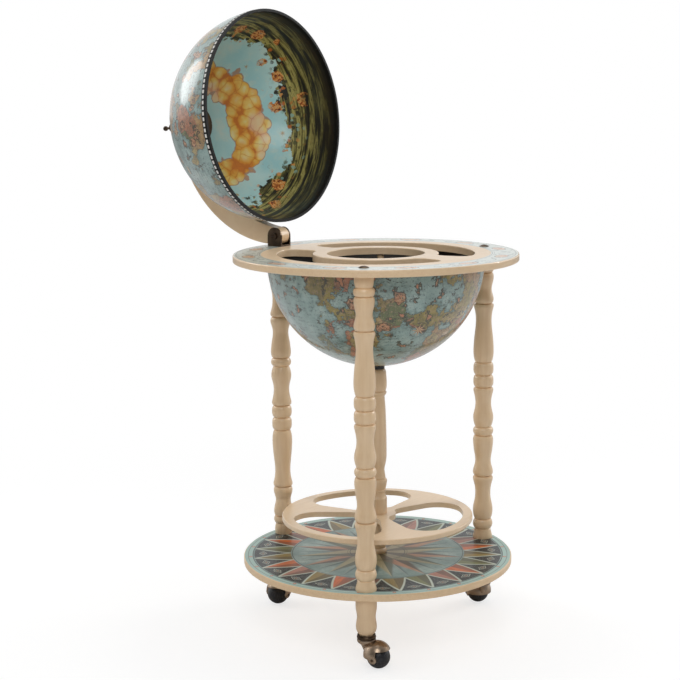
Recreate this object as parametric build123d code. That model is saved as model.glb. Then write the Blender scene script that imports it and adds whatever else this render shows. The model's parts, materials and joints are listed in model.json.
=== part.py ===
from build123d import *
import os
from math import atan2, cos, degrees, hypot, radians, sin, sqrt, tan

# Globe bar: a turned three-legged stand on ball castors that carries a globe cut at its
# equator. The lower half is a bowl with places for bottles and glasses, the upper half is
# a lid that swings up on a hinge over one leg. Millimetres, +Z up, origin on the stand's
# axis at the floor. The hinge leg stands at +Y, and the lid is modelled open.

# Heights, from the floor up
LOWER_LEG_LENGTH = 64.5
SHELF_THICKNESS = 12.0
UPPER_LEG_LENGTH = 509.0
RING_THICKNESS = 12.0

# Legs and shelf
LEG_COUNT = 3
HINGE_LEG_ANGLE = 90.0
SHELF_PAST_LEGS = 24.0       # shelf's edge outside the circle of the legs
BOARD_EDGE_ROUND = 2.0
STUD_RADIUS = 4.0
STUD_DEPTH = 28.0            # into the leg on each side of the shelf
SCREW_HOLE_CLEARANCE = 0.1   # around a screw, stud or rod, on the radius

# Horizon ring and the plate dropped into it
RING_PAST_LEGS = 33.0        # ring's edge outside the circle of the legs
RING_OVER_BOWL = 7.0         # ring's hole inside the globe's radius
REBATE_WIDTH = 17.0
REBATE_DEPTH = 6.0
REBATE_TO_LEGS = 14.0        # from the rebate out to the circle of the legs
PLATE_CLEARANCE = 0.2
PLATE_THICKNESS = 12.0
PLATE_RIM_WIDTH = 10.0       # plate outside the glass slots
GLASS_SLOT_WIDTH = 60.0
GLASS_SLOT_CORNER = 20.0
BOTTLE_HOLE_RIM = 24.0       # plate between the bottle hole and the glass slots
PLATE_BRIDGE_ANGLE = 24.0    # solid plate left between the two glass slots
PLATE_HOLE_ROUND = 1.5

# Globe
GLOBE_RADIUS = 183.0
GLOBE_WALL = 3.0
BOWL_CENTRE_DEPTH = 8.0      # below the ring's top
LID_CENTRE_RISE = 1.5        # above the ring's top, with the lid closed
LID_EDGE_GAP = 0.6           # closed lid above the ring
TRIM_WIDTH = 9.0
TRIM_THICKNESS = 0.8

# Inside the bowl
TRAY_DEPTH = 40.0            # its upper face below the ring's top
TRAY_THICKNESS = 4.0
TRAY_SETBACK = 4.0           # its hole outside the bottle hole, on the radius
TRAY_WALL_GAP = 0.5          # to the bowl, on the radius
SPACER_RADIUS = 6.0
SPACER_COUNT = 6
BOTTLE_FLOOR_RISE = 38.0      # above the lowest point inside the bowl
BOTTLE_FLOOR_THICKNESS = 4.0

# Centre post, its rod and the bottle holder
BOWL_SEAT_RADIUS = 14.0
BOWL_SEAT_HEIGHT = 6.5
ROD_RADIUS = 4.0
ROD_PAST_NUT = 3.0
NUT_WIDTH = 13.0
NUT_HEIGHT = 6.5
WASHER_RADIUS = 12.0
WASHER_THICKNESS = 2.0
HOLDER_RISE = 70.0           # its upper face above the shelf
HOLDER_THICKNESS = 9.0
HOLDER_INSIDE_LEGS = 43.0    # its edge inside the circle of the legs
HOLDER_RIM_WIDTH = 16.0
HOLDER_HUB_RADIUS = 32.0
HOLDER_SPOKE_WIDTH = 10.0    # at the hub
HOLDER_SPOKE_FLARE = 12.5    # of each side, in degrees
HOLDER_TWIST = 21.0          # spokes ahead of the legs, in degrees
HOLDER_INNER_CORNER = 20.0
HOLDER_OUTER_CORNER = 40.0

# Bolts that hold the ring to the legs
CAP_RADIUS = 9.0
CAP_HEIGHT = 3.2
CAP_SHANK_RADIUS = 3.0
CAP_SHANK_DEPTH = 25.0       # into the leg
HINGE_BOLT_HEAD_RADIUS = 5.0

# Hinge
PIN_HEIGHT = 18.0            # pin axis above the ring's top
LID_OPEN_ANGLE = 95.5
BRACKET_LENGTH = 30.0
BRACKET_FLOOR = 3.0
EAR_THICKNESS = 3.0
EAR_RADIUS = 15.0
ARM_SIDE_GAP = 0.3           # arm to each ear
ARM_STOP_GAP = 0.3           # open arm above the bracket's floor
PIN_RADIUS = 3.0
PIN_FIT = 0.05
PIN_HEAD_RADIUS = 5.5
PIN_HEAD_HEIGHT = 2.6
PIN_SLOT_WIDTH = 1.4
PIN_SLOT_DEPTH = 1.2
PIN_NUT_WIDTH = 10.0
PIN_NUT_HEIGHT = 4.0
BRACKET_SCREW_RADIUS = 1.7
BRACKET_SCREW_HEAD_RADIUS = 2.8
BRACKET_SCREW_LENGTH = 11.0
BRACKET_SCREW_SPACING = 22.6

# Meridian arm on the lid
ARM_WIDTH = 20.0
ARM_SHELL_START = 26.0       # degrees above the rim where the arm meets the shell
ARM_PAST_POLE = 5.0          # degrees
ARM_SHELL_OVERCUT = 5.0      # how far the blank reaches into the shell before it is cut
ARM_END_ROUND = 14.0
ARM_EDGE_ROUND = 2.0
ARM_SCREW_ANGLES = (28.0, 58.0)
ARM_SCREW_RADIUS = 2.0
ARM_SCREW_DEPTH = 18.0
ARM_SCREW_HEAD_RADIUS = 4.0
ARM_SCREW_HEAD_HEIGHT = 1.8

# Finial and what clamps it inside the lid
FINIAL_SEAT_DEPTH = 0.4      # flat cut for it in the arm
FINIAL_SEAT_RADIUS = 9.2
FINIAL_HEIGHT = 42.0
FINIAL_SHANK_RADIUS = 2.5
POLE_PLATE_RADIUS = 32.0
POLE_PLATE_THICKNESS = 2.5
POLE_PLATE_GAP = 0.2         # to the shell, on the radius
POLE_NUT_WIDTH = 8.0
POLE_NUT_HEIGHT = 4.0

# Ball castors
BALL_RADIUS = 19.0
CASTOR_TRAIL = 22.0
HOOD_RADIUS = 23.0
HOOD_WALL = 2.5
HOOD_SETBACK = 2.0           # hood's centre behind the ball's, toward the stem
HOOD_RISE = 3.5              # and above it
HOOD_CLEARANCE = 0.8         # to the ball
HOOD_EDGE_RISE = 13.5        # hood's front edge above the ball's centre
CHEEK_RADIUS = 6.5
CHEEK_FRONT = 4.7            # hood's side edge ahead of the axle
AXLE_RADIUS = 2.5
AXLE_FIT = 0.05
AXLE_END = 0.4               # past the hood on each side
STEM_RADIUS = 4.0
STEM_FIT = 0.05
STEM_DEPTH = 24.0            # into the leg
STEM_IN_HOOD = 8.5
STEM_END_GAP = 0.5
CUP_OVER_HOOD = 0.7          # cup's underside above the hood's crown
CUP_HEIGHT = 7.3
CUP_RIM = 3.0                # cup's rim above the leg's end
CUP_RECESS_RADIUS = 13.4
CUP_GAP = 0.3                # hood to cup
CASTOR_ANGLES = (185.0, 276.4, 52.0)  # which way each ball trails, by leg

# Turned work, from its top down: one list for each bead, vase or step, each point giving
# the distance from that element's top and the radius there
LEG_GROOVE_WIDTH = 2.4
LEG_GROOVE_RADIUS = 13.2      # at the bottom of the V grooves between the elements
UPPER_LEG_ELEMENTS = (
    [(0.0, 15.2), (8.0, 15.6), (14.0, 15.0), (18.1, 13.8)],
    [(0.0, 15.6), (5.6, 17.1), (11.3, 15.6)],
    [(0.0, 15.7), (7.5, 16.8), (17.5, 15.2), (25.8, 13.5), (35.0, 14.6), (43.5, 16.8), (52.0, 15.2)],
    [(0.0, 16.6), (2.5, 17.2), (9.0, 16.0), (17.0, 14.4), (29.0, 13.6), (42.0, 14.4),
     (58.0, 16.2), (72.0, 17.3), (82.0, 17.7), (92.0, 17.1), (101.4, 14.9)],
    [(0.0, 15.4), (4.5, 17.2), (10.2, 17.5), (16.0, 17.1), (20.3, 15.2)],
    [(0.0, 15.4), (4.5, 17.3), (9.9, 17.6), (15.5, 17.1), (19.7, 15.0)],
    [(0.0, 16.6), (2.8, 17.4), (9.0, 16.4), (18.0, 14.5), (28.0, 13.7), (38.0, 14.9),
     (47.0, 17.1), (53.0, 17.7), (60.0, 16.9), (68.5, 14.4)],
    [(0.0, 15.6), (4.5, 17.7), (8.5, 17.4), (12.8, 15.4)],
    [(0.0, 16.2), (6.5, 17.7), (16.0, 17.2), (27.0, 16.0), (36.0, 14.4), (43.5, 13.7),
     (52.0, 14.7), (60.0, 17.0), (64.5, 17.7), (71.1, 15.6)],
    [(0.0, 16.8), (3.0, 17.6), (9.0, 16.5), (18.0, 14.3), (30.0, 13.4), (41.0, 14.2),
     (52.0, 16.6), (61.0, 17.5), (69.0, 16.8), (76.0, 14.8)],
    [(0.0, 15.2), (6.5, 17.3), (11.0, 16.9), (15.1, 15.0)],
    [(0.0, 14.4), (6.0, 15.2), (12.0, 16.9), (16.3, 17.0)],
)
LOWER_LEG_TOP_RADIUS = 17.2
LEG_END_RADIUS = 11.6
LOWER_LEG_TURNING = (
    [(9.0, 17.3), (18.0, 17.0), (32.0, 15.2), (49.0, 16.9), (57.0, 15.0), (61.5, LEG_END_RADIUS)],
    [(CUP_RIM, LEG_END_RADIUS)],
)
POST_TOP_RADIUS = 13.5
POST_TURNING = (
    [(2.6, 15.6), (9.5, 16.8), (20.0, 17.5), (27.0, 17.6), (32.0, 17.2), (36.3, 16.0)],
    [(1.0, 15.0)],
    [(1.0, 16.6)],
    [(2.2, 17.2), (5.5, 15.6), (8.6, 13.7)],
    [(21.0, 15.3), (59.0, 16.5), (97.0, 16.8), (106.0, 16.4), (115.0, 14.8), (125.0, 13.0),
     (133.5, 14.2), (138.5, 14.7)],
    [(1.2, 13.9)],
    [(1.2, 16.4)],
    [(2.4, 17.2), (7.5, 16.8), (12.0, 16.0), (16.0, 14.9)],
    [(1.0, 14.0)],
    [(1.0, 15.6)],
    [(2.2, 15.7)],
    [(5.0, 14.4), (9.0, 15.3), (11.0, 16.4)],
    [(0.8, 17.0)],
    [(27.0, 17.0)],
)
POST_FOOT_TOP_RADIUS = 16.4
POST_FOOT_TURNING = (
    [(4.0, 16.9), (8.0, 15.0)],
    [(20.0, 17.2), (38.0, 15.4), (44.0, 14.4)],
    [(5.0, 16.8), (9.0, 15.6)],
)
FINIAL_TIP_RADIUS = 1.0
FINIAL_TURNING = (
    [(1.7, 3.7), (4.6, 4.6), (7.6, 3.7), (9.2, 2.3)],
    [(6.0, 2.6), (10.5, 4.0)],
    [(0.0, 7.6)],
    [(1.4, 8.3), (2.8, 7.6)],
    [(0.0, 3.6)],
    [(6.5, 6.6), (13.0, 3.6)],
    [(3.0, 7.6)],
    [(1.8, 8.6), (3.5, 8.4)],
)
CUP_TOP_RADIUS = 14.3
CUP_TURNING = (
    [(0.9, 14.9), (2.0, 14.3)],
    [(1.6, 15.6), (3.8, 15.5), (5.3, 14.8)],
)
NECK_TOP_RADIUS = 15.0
NECK_TURNING = (
    [(1.5, 15.4), (4.5, 14.9), (7.0, 12.6)],
    [(4.0, 8.8), (8.5, 6.6), (16.5, 3.0)],
)

# Circles about the stand's axis, which follow from the globe outward
RING_HOLE_RADIUS = GLOBE_RADIUS - RING_OVER_BOWL
REBATE_RADIUS = RING_HOLE_RADIUS + REBATE_WIDTH
LEG_CIRCLE_RADIUS = REBATE_RADIUS + REBATE_TO_LEGS  # the hinge pin lies on it too
RING_RADIUS = LEG_CIRCLE_RADIUS + RING_PAST_LEGS
SHELF_RADIUS = LEG_CIRCLE_RADIUS + SHELF_PAST_LEGS
HOLDER_RADIUS = LEG_CIRCLE_RADIUS - HOLDER_INSIDE_LEGS
GLASS_SLOT_OUTER_RADIUS = RING_HOLE_RADIUS - PLATE_RIM_WIDTH
GLASS_SLOT_INNER_RADIUS = GLASS_SLOT_OUTER_RADIUS - GLASS_SLOT_WIDTH
BOTTLE_HOLE_RADIUS = GLASS_SLOT_INNER_RADIUS - BOTTLE_HOLE_RIM
TRAY_INNER_RADIUS = BOTTLE_HOLE_RADIUS + TRAY_SETBACK

# Places that follow from the sizes above
HOOD_CENTRE = BALL_RADIUS + HOOD_RISE
CUP_BOTTOM = HOOD_CENTRE + HOOD_RADIUS + CUP_OVER_HOOD
LEG_END_HEIGHT = CUP_BOTTOM + CUP_HEIGHT - CUP_RIM
SHELF_BOTTOM = LEG_END_HEIGHT + LOWER_LEG_LENGTH
SHELF_TOP = SHELF_BOTTOM + SHELF_THICKNESS
RING_BOTTOM = SHELF_TOP + UPPER_LEG_LENGTH
RING_TOP = RING_BOTTOM + RING_THICKNESS
BOWL_CENTRE = RING_TOP - BOWL_CENTRE_DEPTH
BOWL_BOTTOM = BOWL_CENTRE - GLOBE_RADIUS
POST_TOP = BOWL_BOTTOM - BOWL_SEAT_HEIGHT
HOLDER_TOP = SHELF_TOP + HOLDER_RISE
HOLDER_BOTTOM = HOLDER_TOP - HOLDER_THICKNESS
LEG_ANGLES = [HINGE_LEG_ANGLE + number * 360.0 / LEG_COUNT for number in range(LEG_COUNT)]
TRAY_TOP = RING_TOP - TRAY_DEPTH
PLATE_BOTTOM = RING_TOP - PLATE_THICKNESS
NECK_TOP = CUP_BOTTOM - CUP_GAP
NECK_BOTTOM = NECK_TOP - sum(element[-1][0] for element in NECK_TURNING)
# The hood's half width at the axle, which is set back and down from its centre
CHEEK_REACH = sqrt(HOOD_RADIUS**2 - HOOD_SETBACK**2 - HOOD_RISE**2)
LID_CENTRE = RING_TOP + LID_CENTRE_RISE
PIN_Z = RING_TOP + PIN_HEIGHT
GLOBE_INNER_RADIUS = GLOBE_RADIUS - GLOBE_WALL
BOTTLE_FLOOR_TOP = BOWL_CENTRE - GLOBE_INNER_RADIUS + BOTTLE_FLOOR_RISE
BOWL_WASHER_BOTTOM = BOWL_CENTRE - sqrt(GLOBE_INNER_RADIUS**2 - WASHER_RADIUS**2)
ROD_TOP = BOWL_WASHER_BOTTOM + WASHER_THICKNESS + NUT_HEIGHT + ROD_PAST_NUT
ROD_BOTTOM = SHELF_BOTTOM - WASHER_THICKNESS - NUT_HEIGHT - ROD_PAST_NUT

HINGE_AXIS = Axis((0, LEG_CIRCLE_RADIUS, PIN_Z), (1, 0, 0))
PIN_REACH = hypot(LEG_CIRCLE_RADIUS, PIN_Z - LID_CENTRE)
PIN_ELEVATION = degrees(atan2(PIN_Z - LID_CENTRE, LEG_CIRCLE_RADIUS))
OPEN_CENTRE_HEIGHT = PIN_Z + PIN_REACH * sin(radians(LID_OPEN_ANGLE - PIN_ELEVATION))
# The open arm's lowest edge comes down to the bracket's floor, which stops the lid
ARM_OUTER_RADIUS = OPEN_CENTRE_HEIGHT - RING_TOP - BRACKET_FLOOR - ARM_STOP_GAP
KNUCKLE_RADIUS = ARM_OUTER_RADIUS - PIN_REACH
FINIAL_SEAT = ARM_OUTER_RADIUS - FINIAL_SEAT_DEPTH
POLE_PLATE_OUTSIDE = GLOBE_INNER_RADIUS - POLE_PLATE_GAP
POLE_PLATE_INSIDE = POLE_PLATE_OUTSIDE - POLE_PLATE_THICKNESS
# A hexagon's corners lie at its width over the root of three, and touch the dished plate
POLE_NUT_TOP = sqrt(POLE_PLATE_INSIDE**2 - POLE_NUT_WIDTH**2 / 3)
BRACKET_WIDTH = ARM_WIDTH + 2 * (ARM_SIDE_GAP + EAR_THICKNESS)


def upright(radius, bottom, top, x=0.0, y=0.0):
    """Solid cylinder between two heights."""
    return Pos(x, y, (bottom + top) / 2) * Cylinder(radius, top - bottom)


def board(radius, bottom, top):
    """Round board with softened rims."""
    blank = upright(radius, bottom, top)
    return fillet(blank.edges().filter_by(GeomType.CIRCLE), BOARD_EDGE_ROUND)


def ball(radius, height, x=0.0):
    """Sphere centred at a height."""
    return Pos(x, 0, height) * Sphere(radius)


def block(x_size, y_size, bottom, top, x=0.0, y=0.0):
    """Box between two heights."""
    return Pos(x, y, (bottom + top) / 2) * Box(x_size, y_size, top - bottom)


def on_circle(radius, angle):
    """Point on a circle about the stand's axis."""
    return radius * cos(radians(angle)), radius * sin(radians(angle))


def at_leg(angle):
    """Place of a leg's axis."""
    return Pos(*on_circle(LEG_CIRCLE_RADIUS, angle), 0)


def drilled_at_legs(solid, radius, bottom, top, angles=LEG_ANGLES):
    """Vertical holes on the axes of the legs."""
    for angle in angles:
        solid -= at_leg(angle) * upright(radius, bottom, top)
    return solid


def turned(top, bottom, top_radius, turning):
    """Lathe work about Z, its elements stretched to fit between two heights."""
    stretch = (top - bottom) / sum(element[-1][0] for element in turning)
    height, radius = top, top_radius
    outline = [Line((0, 0, height), (radius, 0, height))]
    for element in turning:
        points = [(radius, 0, height)]
        points += [(r, 0, height - down * stretch) for down, r in element]
        outline.append(Spline(*points) if len(points) > 2 else Line(*points))
        radius, height = points[-1][0], points[-1][2]
    outline.append(Line((radius, 0, height), (0, 0, height)))
    outline.append(Line((0, 0, height), (0, 0, top)))
    return revolve(make_face(outline), Axis.Z)


def grooved(elements, groove_width, groove_radius):
    """Turning of elements that start with their own radius, a V groove after each."""
    turning = [elements[0][1:]]
    for element in elements[1:]:
        turning.append([(groove_width / 2, groove_radius)])
        turning.append([(groove_width / 2, element[0][1])])
        turning.append(element[1:])
    return turning


def hexagon(width, bottom, top):
    """Hexagonal nut blank, measured across its flats."""
    outline = RegularPolygon(width / 2, 6, major_radius=False)
    return Pos(0, 0, bottom) * extrude(outline, top - bottom)


def countersunk(head_radius, shank_radius, top, length):
    """Flat-headed screw that points down, with its head's cone at 90 degrees."""
    cone = head_radius - shank_radius
    head = Pos(0, 0, top - cone / 2) * Cone(shank_radius, head_radius, cone)
    return head + upright(shank_radius, top - length, top - cone)


def corners_rounded(face, inner_corner, outer_corner):
    """Ring segment whose two inner and two outer corners are rounded."""
    outward = face.vertices().sort_by(lambda v: hypot(v.X, v.Y))
    face = fillet(outward[:2], inner_corner)
    outward = face.vertices().sort_by(lambda v: hypot(v.X, v.Y))
    return fillet(outward[-2:], outer_corner)


def sector(inner, outer, start, sweep):
    """Flat ring segment between two angles."""
    angles = (start, start + sweep / 2, start + sweep)
    arcs = [ThreePointArc(*[on_circle(r, a) for a in angles]) for r in (inner, outer)]
    sides = [Line(on_circle(inner, a), on_circle(outer, a)) for a in (angles[0], angles[2])]
    return make_face(arcs + sides)


def globe_shell(centre, bottom, top):
    """Spherical wall between two heights."""
    wall = ball(GLOBE_RADIUS, centre) - ball(GLOBE_RADIUS - GLOBE_WALL, centre)
    return wall & block(3 * GLOBE_RADIUS, 3 * GLOBE_RADIUS, bottom, top)


# --- Stand ---------------------------------------------------------------------------


def horizon_ring():
    """Board that the bowl hangs under, rebated for the plate."""
    ring = board(RING_RADIUS, RING_BOTTOM, RING_TOP)
    ring -= upright(RING_HOLE_RADIUS, RING_BOTTOM, RING_TOP)
    ring -= upright(REBATE_RADIUS, RING_TOP - REBATE_DEPTH, RING_TOP)
    ring = drilled_at_legs(ring, CAP_SHANK_RADIUS + SCREW_HOLE_CLEARANCE, RING_BOTTOM, RING_TOP)
    for place in bracket_screw_places():
        hole = BRACKET_SCREW_RADIUS + SCREW_HOLE_CLEARANCE
        bottom = RING_TOP + BRACKET_FLOOR - BRACKET_SCREW_LENGTH
        ring -= place * upright(hole, bottom, RING_TOP)
    return ring


def insert_plate():
    """Plate with the bottle hole and the two glass slots."""
    step = RING_TOP - REBATE_DEPTH
    plate = upright(REBATE_RADIUS - PLATE_CLEARANCE, step, RING_TOP)
    plate += upright(RING_HOLE_RADIUS - PLATE_CLEARANCE, PLATE_BOTTOM, step)
    plate -= upright(BOTTLE_HOLE_RADIUS, PLATE_BOTTOM, RING_TOP)
    slot = sector(
        GLASS_SLOT_INNER_RADIUS,
        GLASS_SLOT_OUTER_RADIUS,
        HINGE_LEG_ANGLE + PLATE_BRIDGE_ANGLE / 2,
        180.0 - PLATE_BRIDGE_ANGLE,
    )
    slot = corners_rounded(slot, GLASS_SLOT_CORNER, GLASS_SLOT_CORNER)
    for turn in (0.0, 180.0):
        plate -= Pos(0, 0, PLATE_BOTTOM) * Rot(0, 0, turn) * extrude(slot, PLATE_THICKNESS)
    top = plate.faces().sort_by(Axis.Z)[-1]
    holes = [edge for wire in top.inner_wires() for edge in wire.edges()]
    return fillet(holes, PLATE_HOLE_ROUND)


def glass_tray():
    """Ring-shaped tray that the glasses' feet stand on."""
    bottom = TRAY_TOP - TRAY_THICKNESS
    inside = sqrt((GLOBE_RADIUS - GLOBE_WALL) ** 2 - (BOWL_CENTRE - bottom) ** 2)
    tray = upright(inside - TRAY_WALL_GAP, bottom, TRAY_TOP)
    return tray - upright(TRAY_INNER_RADIUS, bottom, TRAY_TOP)


def tray_spacers():
    """Dowels that hang the tray under the plate."""
    circle = (BOTTLE_HOLE_RADIUS + GLASS_SLOT_INNER_RADIUS) / 2
    turn = 360.0 / SPACER_COUNT
    return [
        Pos(*on_circle(circle, HINGE_LEG_ANGLE + number * turn), 0)
        * upright(SPACER_RADIUS, TRAY_TOP, PLATE_BOTTOM)
        for number in range(SPACER_COUNT)
    ]


def bowl_shell():
    """Lower half of the globe."""
    shell = globe_shell(BOWL_CENTRE, BOWL_CENTRE - 2 * GLOBE_RADIUS, RING_BOTTOM)
    return shell - upright(ROD_RADIUS + SCREW_HOLE_CLEARANCE, BOWL_BOTTOM, BOWL_CENTRE)


def bottle_floor():
    """Disc across the bowl that the inner bottles stand on."""
    disc = upright(GLOBE_RADIUS, BOTTLE_FLOOR_TOP - BOTTLE_FLOOR_THICKNESS, BOTTLE_FLOOR_TOP)
    return disc & ball(GLOBE_RADIUS - GLOBE_WALL, BOWL_CENTRE)


def bowl_seat():
    """Dished spacer between the bowl and the centre post."""
    seat = upright(BOWL_SEAT_RADIUS, POST_TOP, BOWL_CENTRE - GLOBE_RADIUS / 2)
    seat -= ball(GLOBE_RADIUS, BOWL_CENTRE)
    return seat - upright(ROD_RADIUS + SCREW_HOLE_CLEARANCE, POST_TOP, BOWL_CENTRE)


def center_post():
    """Turned post between the bowl and the bottle holder."""
    post = turned(POST_TOP, HOLDER_TOP, POST_TOP_RADIUS, POST_TURNING)
    return post - upright(ROD_RADIUS + SCREW_HOLE_CLEARANCE, HOLDER_TOP, POST_TOP)


def post_foot():
    """Turned foot between the bottle holder and the shelf."""
    foot = turned(HOLDER_BOTTOM, SHELF_TOP, POST_FOOT_TOP_RADIUS, POST_FOOT_TURNING)
    return foot - upright(ROD_RADIUS + SCREW_HOLE_CLEARANCE, SHELF_TOP, HOLDER_BOTTOM)


def holder_spoke(length):
    """Outline of a spoke along X from the middle, that widens from the hub to the rim."""
    flare = tan(radians(HOLDER_SPOKE_FLARE))
    near = HOLDER_SPOKE_WIDTH / 2 - HOLDER_HUB_RADIUS / 2 * flare
    far = HOLDER_SPOKE_WIDTH / 2 + (length - HOLDER_HUB_RADIUS) * flare
    start = HOLDER_HUB_RADIUS / 2
    return make_face(Polyline((start, near), (length, far), (length, -far), (start, -near),
                              close=True))


def holder_opening():
    """Opening that follows a spoke counterclockwise, its corners rounded."""
    inside = HOLDER_RADIUS - HOLDER_RIM_WIDTH
    start, turn = HINGE_LEG_ANGLE + HOLDER_TWIST, 360.0 / LEG_COUNT
    opening = sector(HOLDER_HUB_RADIUS, inside, start, turn)
    for angle in (start, start + turn):
        opening -= Rot(0, 0, angle) * holder_spoke(HOLDER_RADIUS)
    return corners_rounded(opening, HOLDER_INNER_CORNER, HOLDER_OUTER_CORNER)


def bottle_holder():
    """Plate with three openings that steady the bottles on the shelf."""
    plate = board(HOLDER_RADIUS, HOLDER_BOTTOM, HOLDER_TOP)
    cutter = extrude(holder_opening(), HOLDER_THICKNESS)
    for angle in LEG_ANGLES:
        turned_cutter = Rot(0, 0, angle - HINGE_LEG_ANGLE) * cutter
        plate -= Pos(0, 0, HOLDER_BOTTOM) * turned_cutter
    return plate - upright(ROD_RADIUS + SCREW_HOLE_CLEARANCE, HOLDER_BOTTOM, HOLDER_TOP)


def shelf_plate():
    """Round shelf between the upper and the lower legs."""
    shelf = board(SHELF_RADIUS, SHELF_BOTTOM, SHELF_TOP)
    shelf = drilled_at_legs(shelf, STUD_RADIUS + SCREW_HOLE_CLEARANCE, SHELF_BOTTOM, SHELF_TOP)
    return shelf - upright(ROD_RADIUS + SCREW_HOLE_CLEARANCE, SHELF_BOTTOM, SHELF_TOP)


def upper_leg(angle):
    """Turned leg between the shelf and the horizon ring, the hinge's one upside down."""
    turning = grooved(UPPER_LEG_ELEMENTS, LEG_GROOVE_WIDTH, LEG_GROOVE_RADIUS)
    leg = turned(RING_BOTTOM, SHELF_TOP, UPPER_LEG_ELEMENTS[0][0][1], turning)
    if angle == HINGE_LEG_ANGLE:
        leg = Pos(0, 0, RING_BOTTOM + SHELF_TOP) * Rot(180, 0, 0) * leg
    leg -= upright(STUD_RADIUS + SCREW_HOLE_CLEARANCE, SHELF_TOP, SHELF_TOP + STUD_DEPTH)
    bolt_hole = CAP_SHANK_RADIUS + SCREW_HOLE_CLEARANCE
    leg -= upright(bolt_hole, RING_BOTTOM - CAP_SHANK_DEPTH, RING_BOTTOM)
    return at_leg(angle) * leg


def lower_leg(angle):
    """Turned leg end under the shelf."""
    leg = turned(SHELF_BOTTOM, LEG_END_HEIGHT, LOWER_LEG_TOP_RADIUS, LOWER_LEG_TURNING)
    stud_hole = STUD_RADIUS + SCREW_HOLE_CLEARANCE
    leg -= upright(stud_hole, SHELF_BOTTOM - STUD_DEPTH, SHELF_BOTTOM)
    stem_hole = STEM_RADIUS + SCREW_HOLE_CLEARANCE
    leg -= upright(stem_hole, LEG_END_HEIGHT, LEG_END_HEIGHT + STEM_DEPTH)
    return at_leg(angle) * leg


def leg_studs():
    """Double-ended studs that pull each pair of legs against the shelf."""
    stud = upright(STUD_RADIUS, SHELF_BOTTOM - STUD_DEPTH, SHELF_TOP + STUD_DEPTH)
    return [at_leg(angle) * stud for angle in LEG_ANGLES]


def post_rod():
    """Rod that clamps bowl, post, holder, foot and shelf together."""
    return upright(ROD_RADIUS, ROD_BOTTOM, ROD_TOP)


def rod_washers():
    """One washer inside the bowl and one under the shelf."""
    bore = upright(ROD_RADIUS + SCREW_HOLE_CLEARANCE, ROD_BOTTOM, ROD_TOP)
    inside = upright(WASHER_RADIUS, BOWL_WASHER_BOTTOM, BOWL_WASHER_BOTTOM + WASHER_THICKNESS)
    below = upright(WASHER_RADIUS, SHELF_BOTTOM - WASHER_THICKNESS, SHELF_BOTTOM)
    return [inside - bore, below - bore]


def rod_nuts():
    """Nuts on the rod's two ends."""
    bore = upright(ROD_RADIUS + SCREW_HOLE_CLEARANCE, ROD_BOTTOM, ROD_TOP)
    upper = BOWL_WASHER_BOTTOM + WASHER_THICKNESS
    lower = SHELF_BOTTOM - WASHER_THICKNESS
    return [
        hexagon(NUT_WIDTH, upper, upper + NUT_HEIGHT) - bore,
        hexagon(NUT_WIDTH, lower - NUT_HEIGHT, lower) - bore,
    ]


def ring_cap_bolts():
    """Domed bolts through the ring into the two legs without a hinge."""
    dome_radius = (CAP_RADIUS**2 + CAP_HEIGHT**2) / (2 * CAP_HEIGHT)
    dome = ball(dome_radius, RING_TOP + CAP_HEIGHT - dome_radius)
    dome &= upright(CAP_RADIUS, RING_TOP, RING_TOP + CAP_HEIGHT)
    bolt = dome + upright(CAP_SHANK_RADIUS, RING_BOTTOM - CAP_SHANK_DEPTH, RING_TOP)
    return [at_leg(angle) * bolt for angle in LEG_ANGLES[1:]]


# --- Hinge ---------------------------------------------------------------------------


def across_hinge(radius, start, end):
    """Cylinder along the hinge pin's axis, between two places along X."""
    rod = Rot(0, 90, 0) * Cylinder(radius, end - start)
    return Pos((start + end) / 2, LEG_CIRCLE_RADIUS, PIN_Z) * rod


def bracket_screw_places():
    """Where the bracket is screwed to the ring, inside and outside the leg's bolt."""
    offsets = (-BRACKET_SCREW_SPACING / 2, BRACKET_SCREW_SPACING / 2)
    return [Pos(0, LEG_CIRCLE_RADIUS + offset, 0) for offset in offsets]


def hinge_leg_bolt():
    """Flat-headed bolt through bracket and ring into the hinge leg."""
    length = BRACKET_FLOOR + RING_THICKNESS + CAP_SHANK_DEPTH
    top = RING_TOP + BRACKET_FLOOR
    return at_leg(HINGE_LEG_ANGLE) * countersunk(
        HINGE_BOLT_HEAD_RADIUS, CAP_SHANK_RADIUS, top, length
    )


def bracket_screws():
    """Wood screws that hold the bracket to the ring."""
    top = RING_TOP + BRACKET_FLOOR
    screw = countersunk(
        BRACKET_SCREW_HEAD_RADIUS, BRACKET_SCREW_RADIUS, top, BRACKET_SCREW_LENGTH
    )
    return [place * screw for place in bracket_screw_places()]


def hinge_bracket():
    """Forked bracket, its two ears rounded about the pin."""
    floor_top = RING_TOP + BRACKET_FLOOR
    bracket = block(BRACKET_WIDTH, BRACKET_LENGTH, RING_TOP, floor_top, y=LEG_CIRCLE_RADIUS)
    inner = ARM_WIDTH / 2 + ARM_SIDE_GAP
    for side in (-1, 1):
        start, end = sorted((side * inner, side * (inner + EAR_THICKNESS)))
        middle = (start + end) / 2
        ear = block(EAR_THICKNESS, 2 * EAR_RADIUS, RING_TOP, PIN_Z, middle, LEG_CIRCLE_RADIUS)
        bracket += ear + across_hinge(EAR_RADIUS, start, end)
    bracket -= across_hinge(PIN_RADIUS + PIN_FIT, -BRACKET_WIDTH, BRACKET_WIDTH)
    for screw in [hinge_leg_bolt(), *bracket_screws()]:
        bracket -= screw
    return bracket


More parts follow.
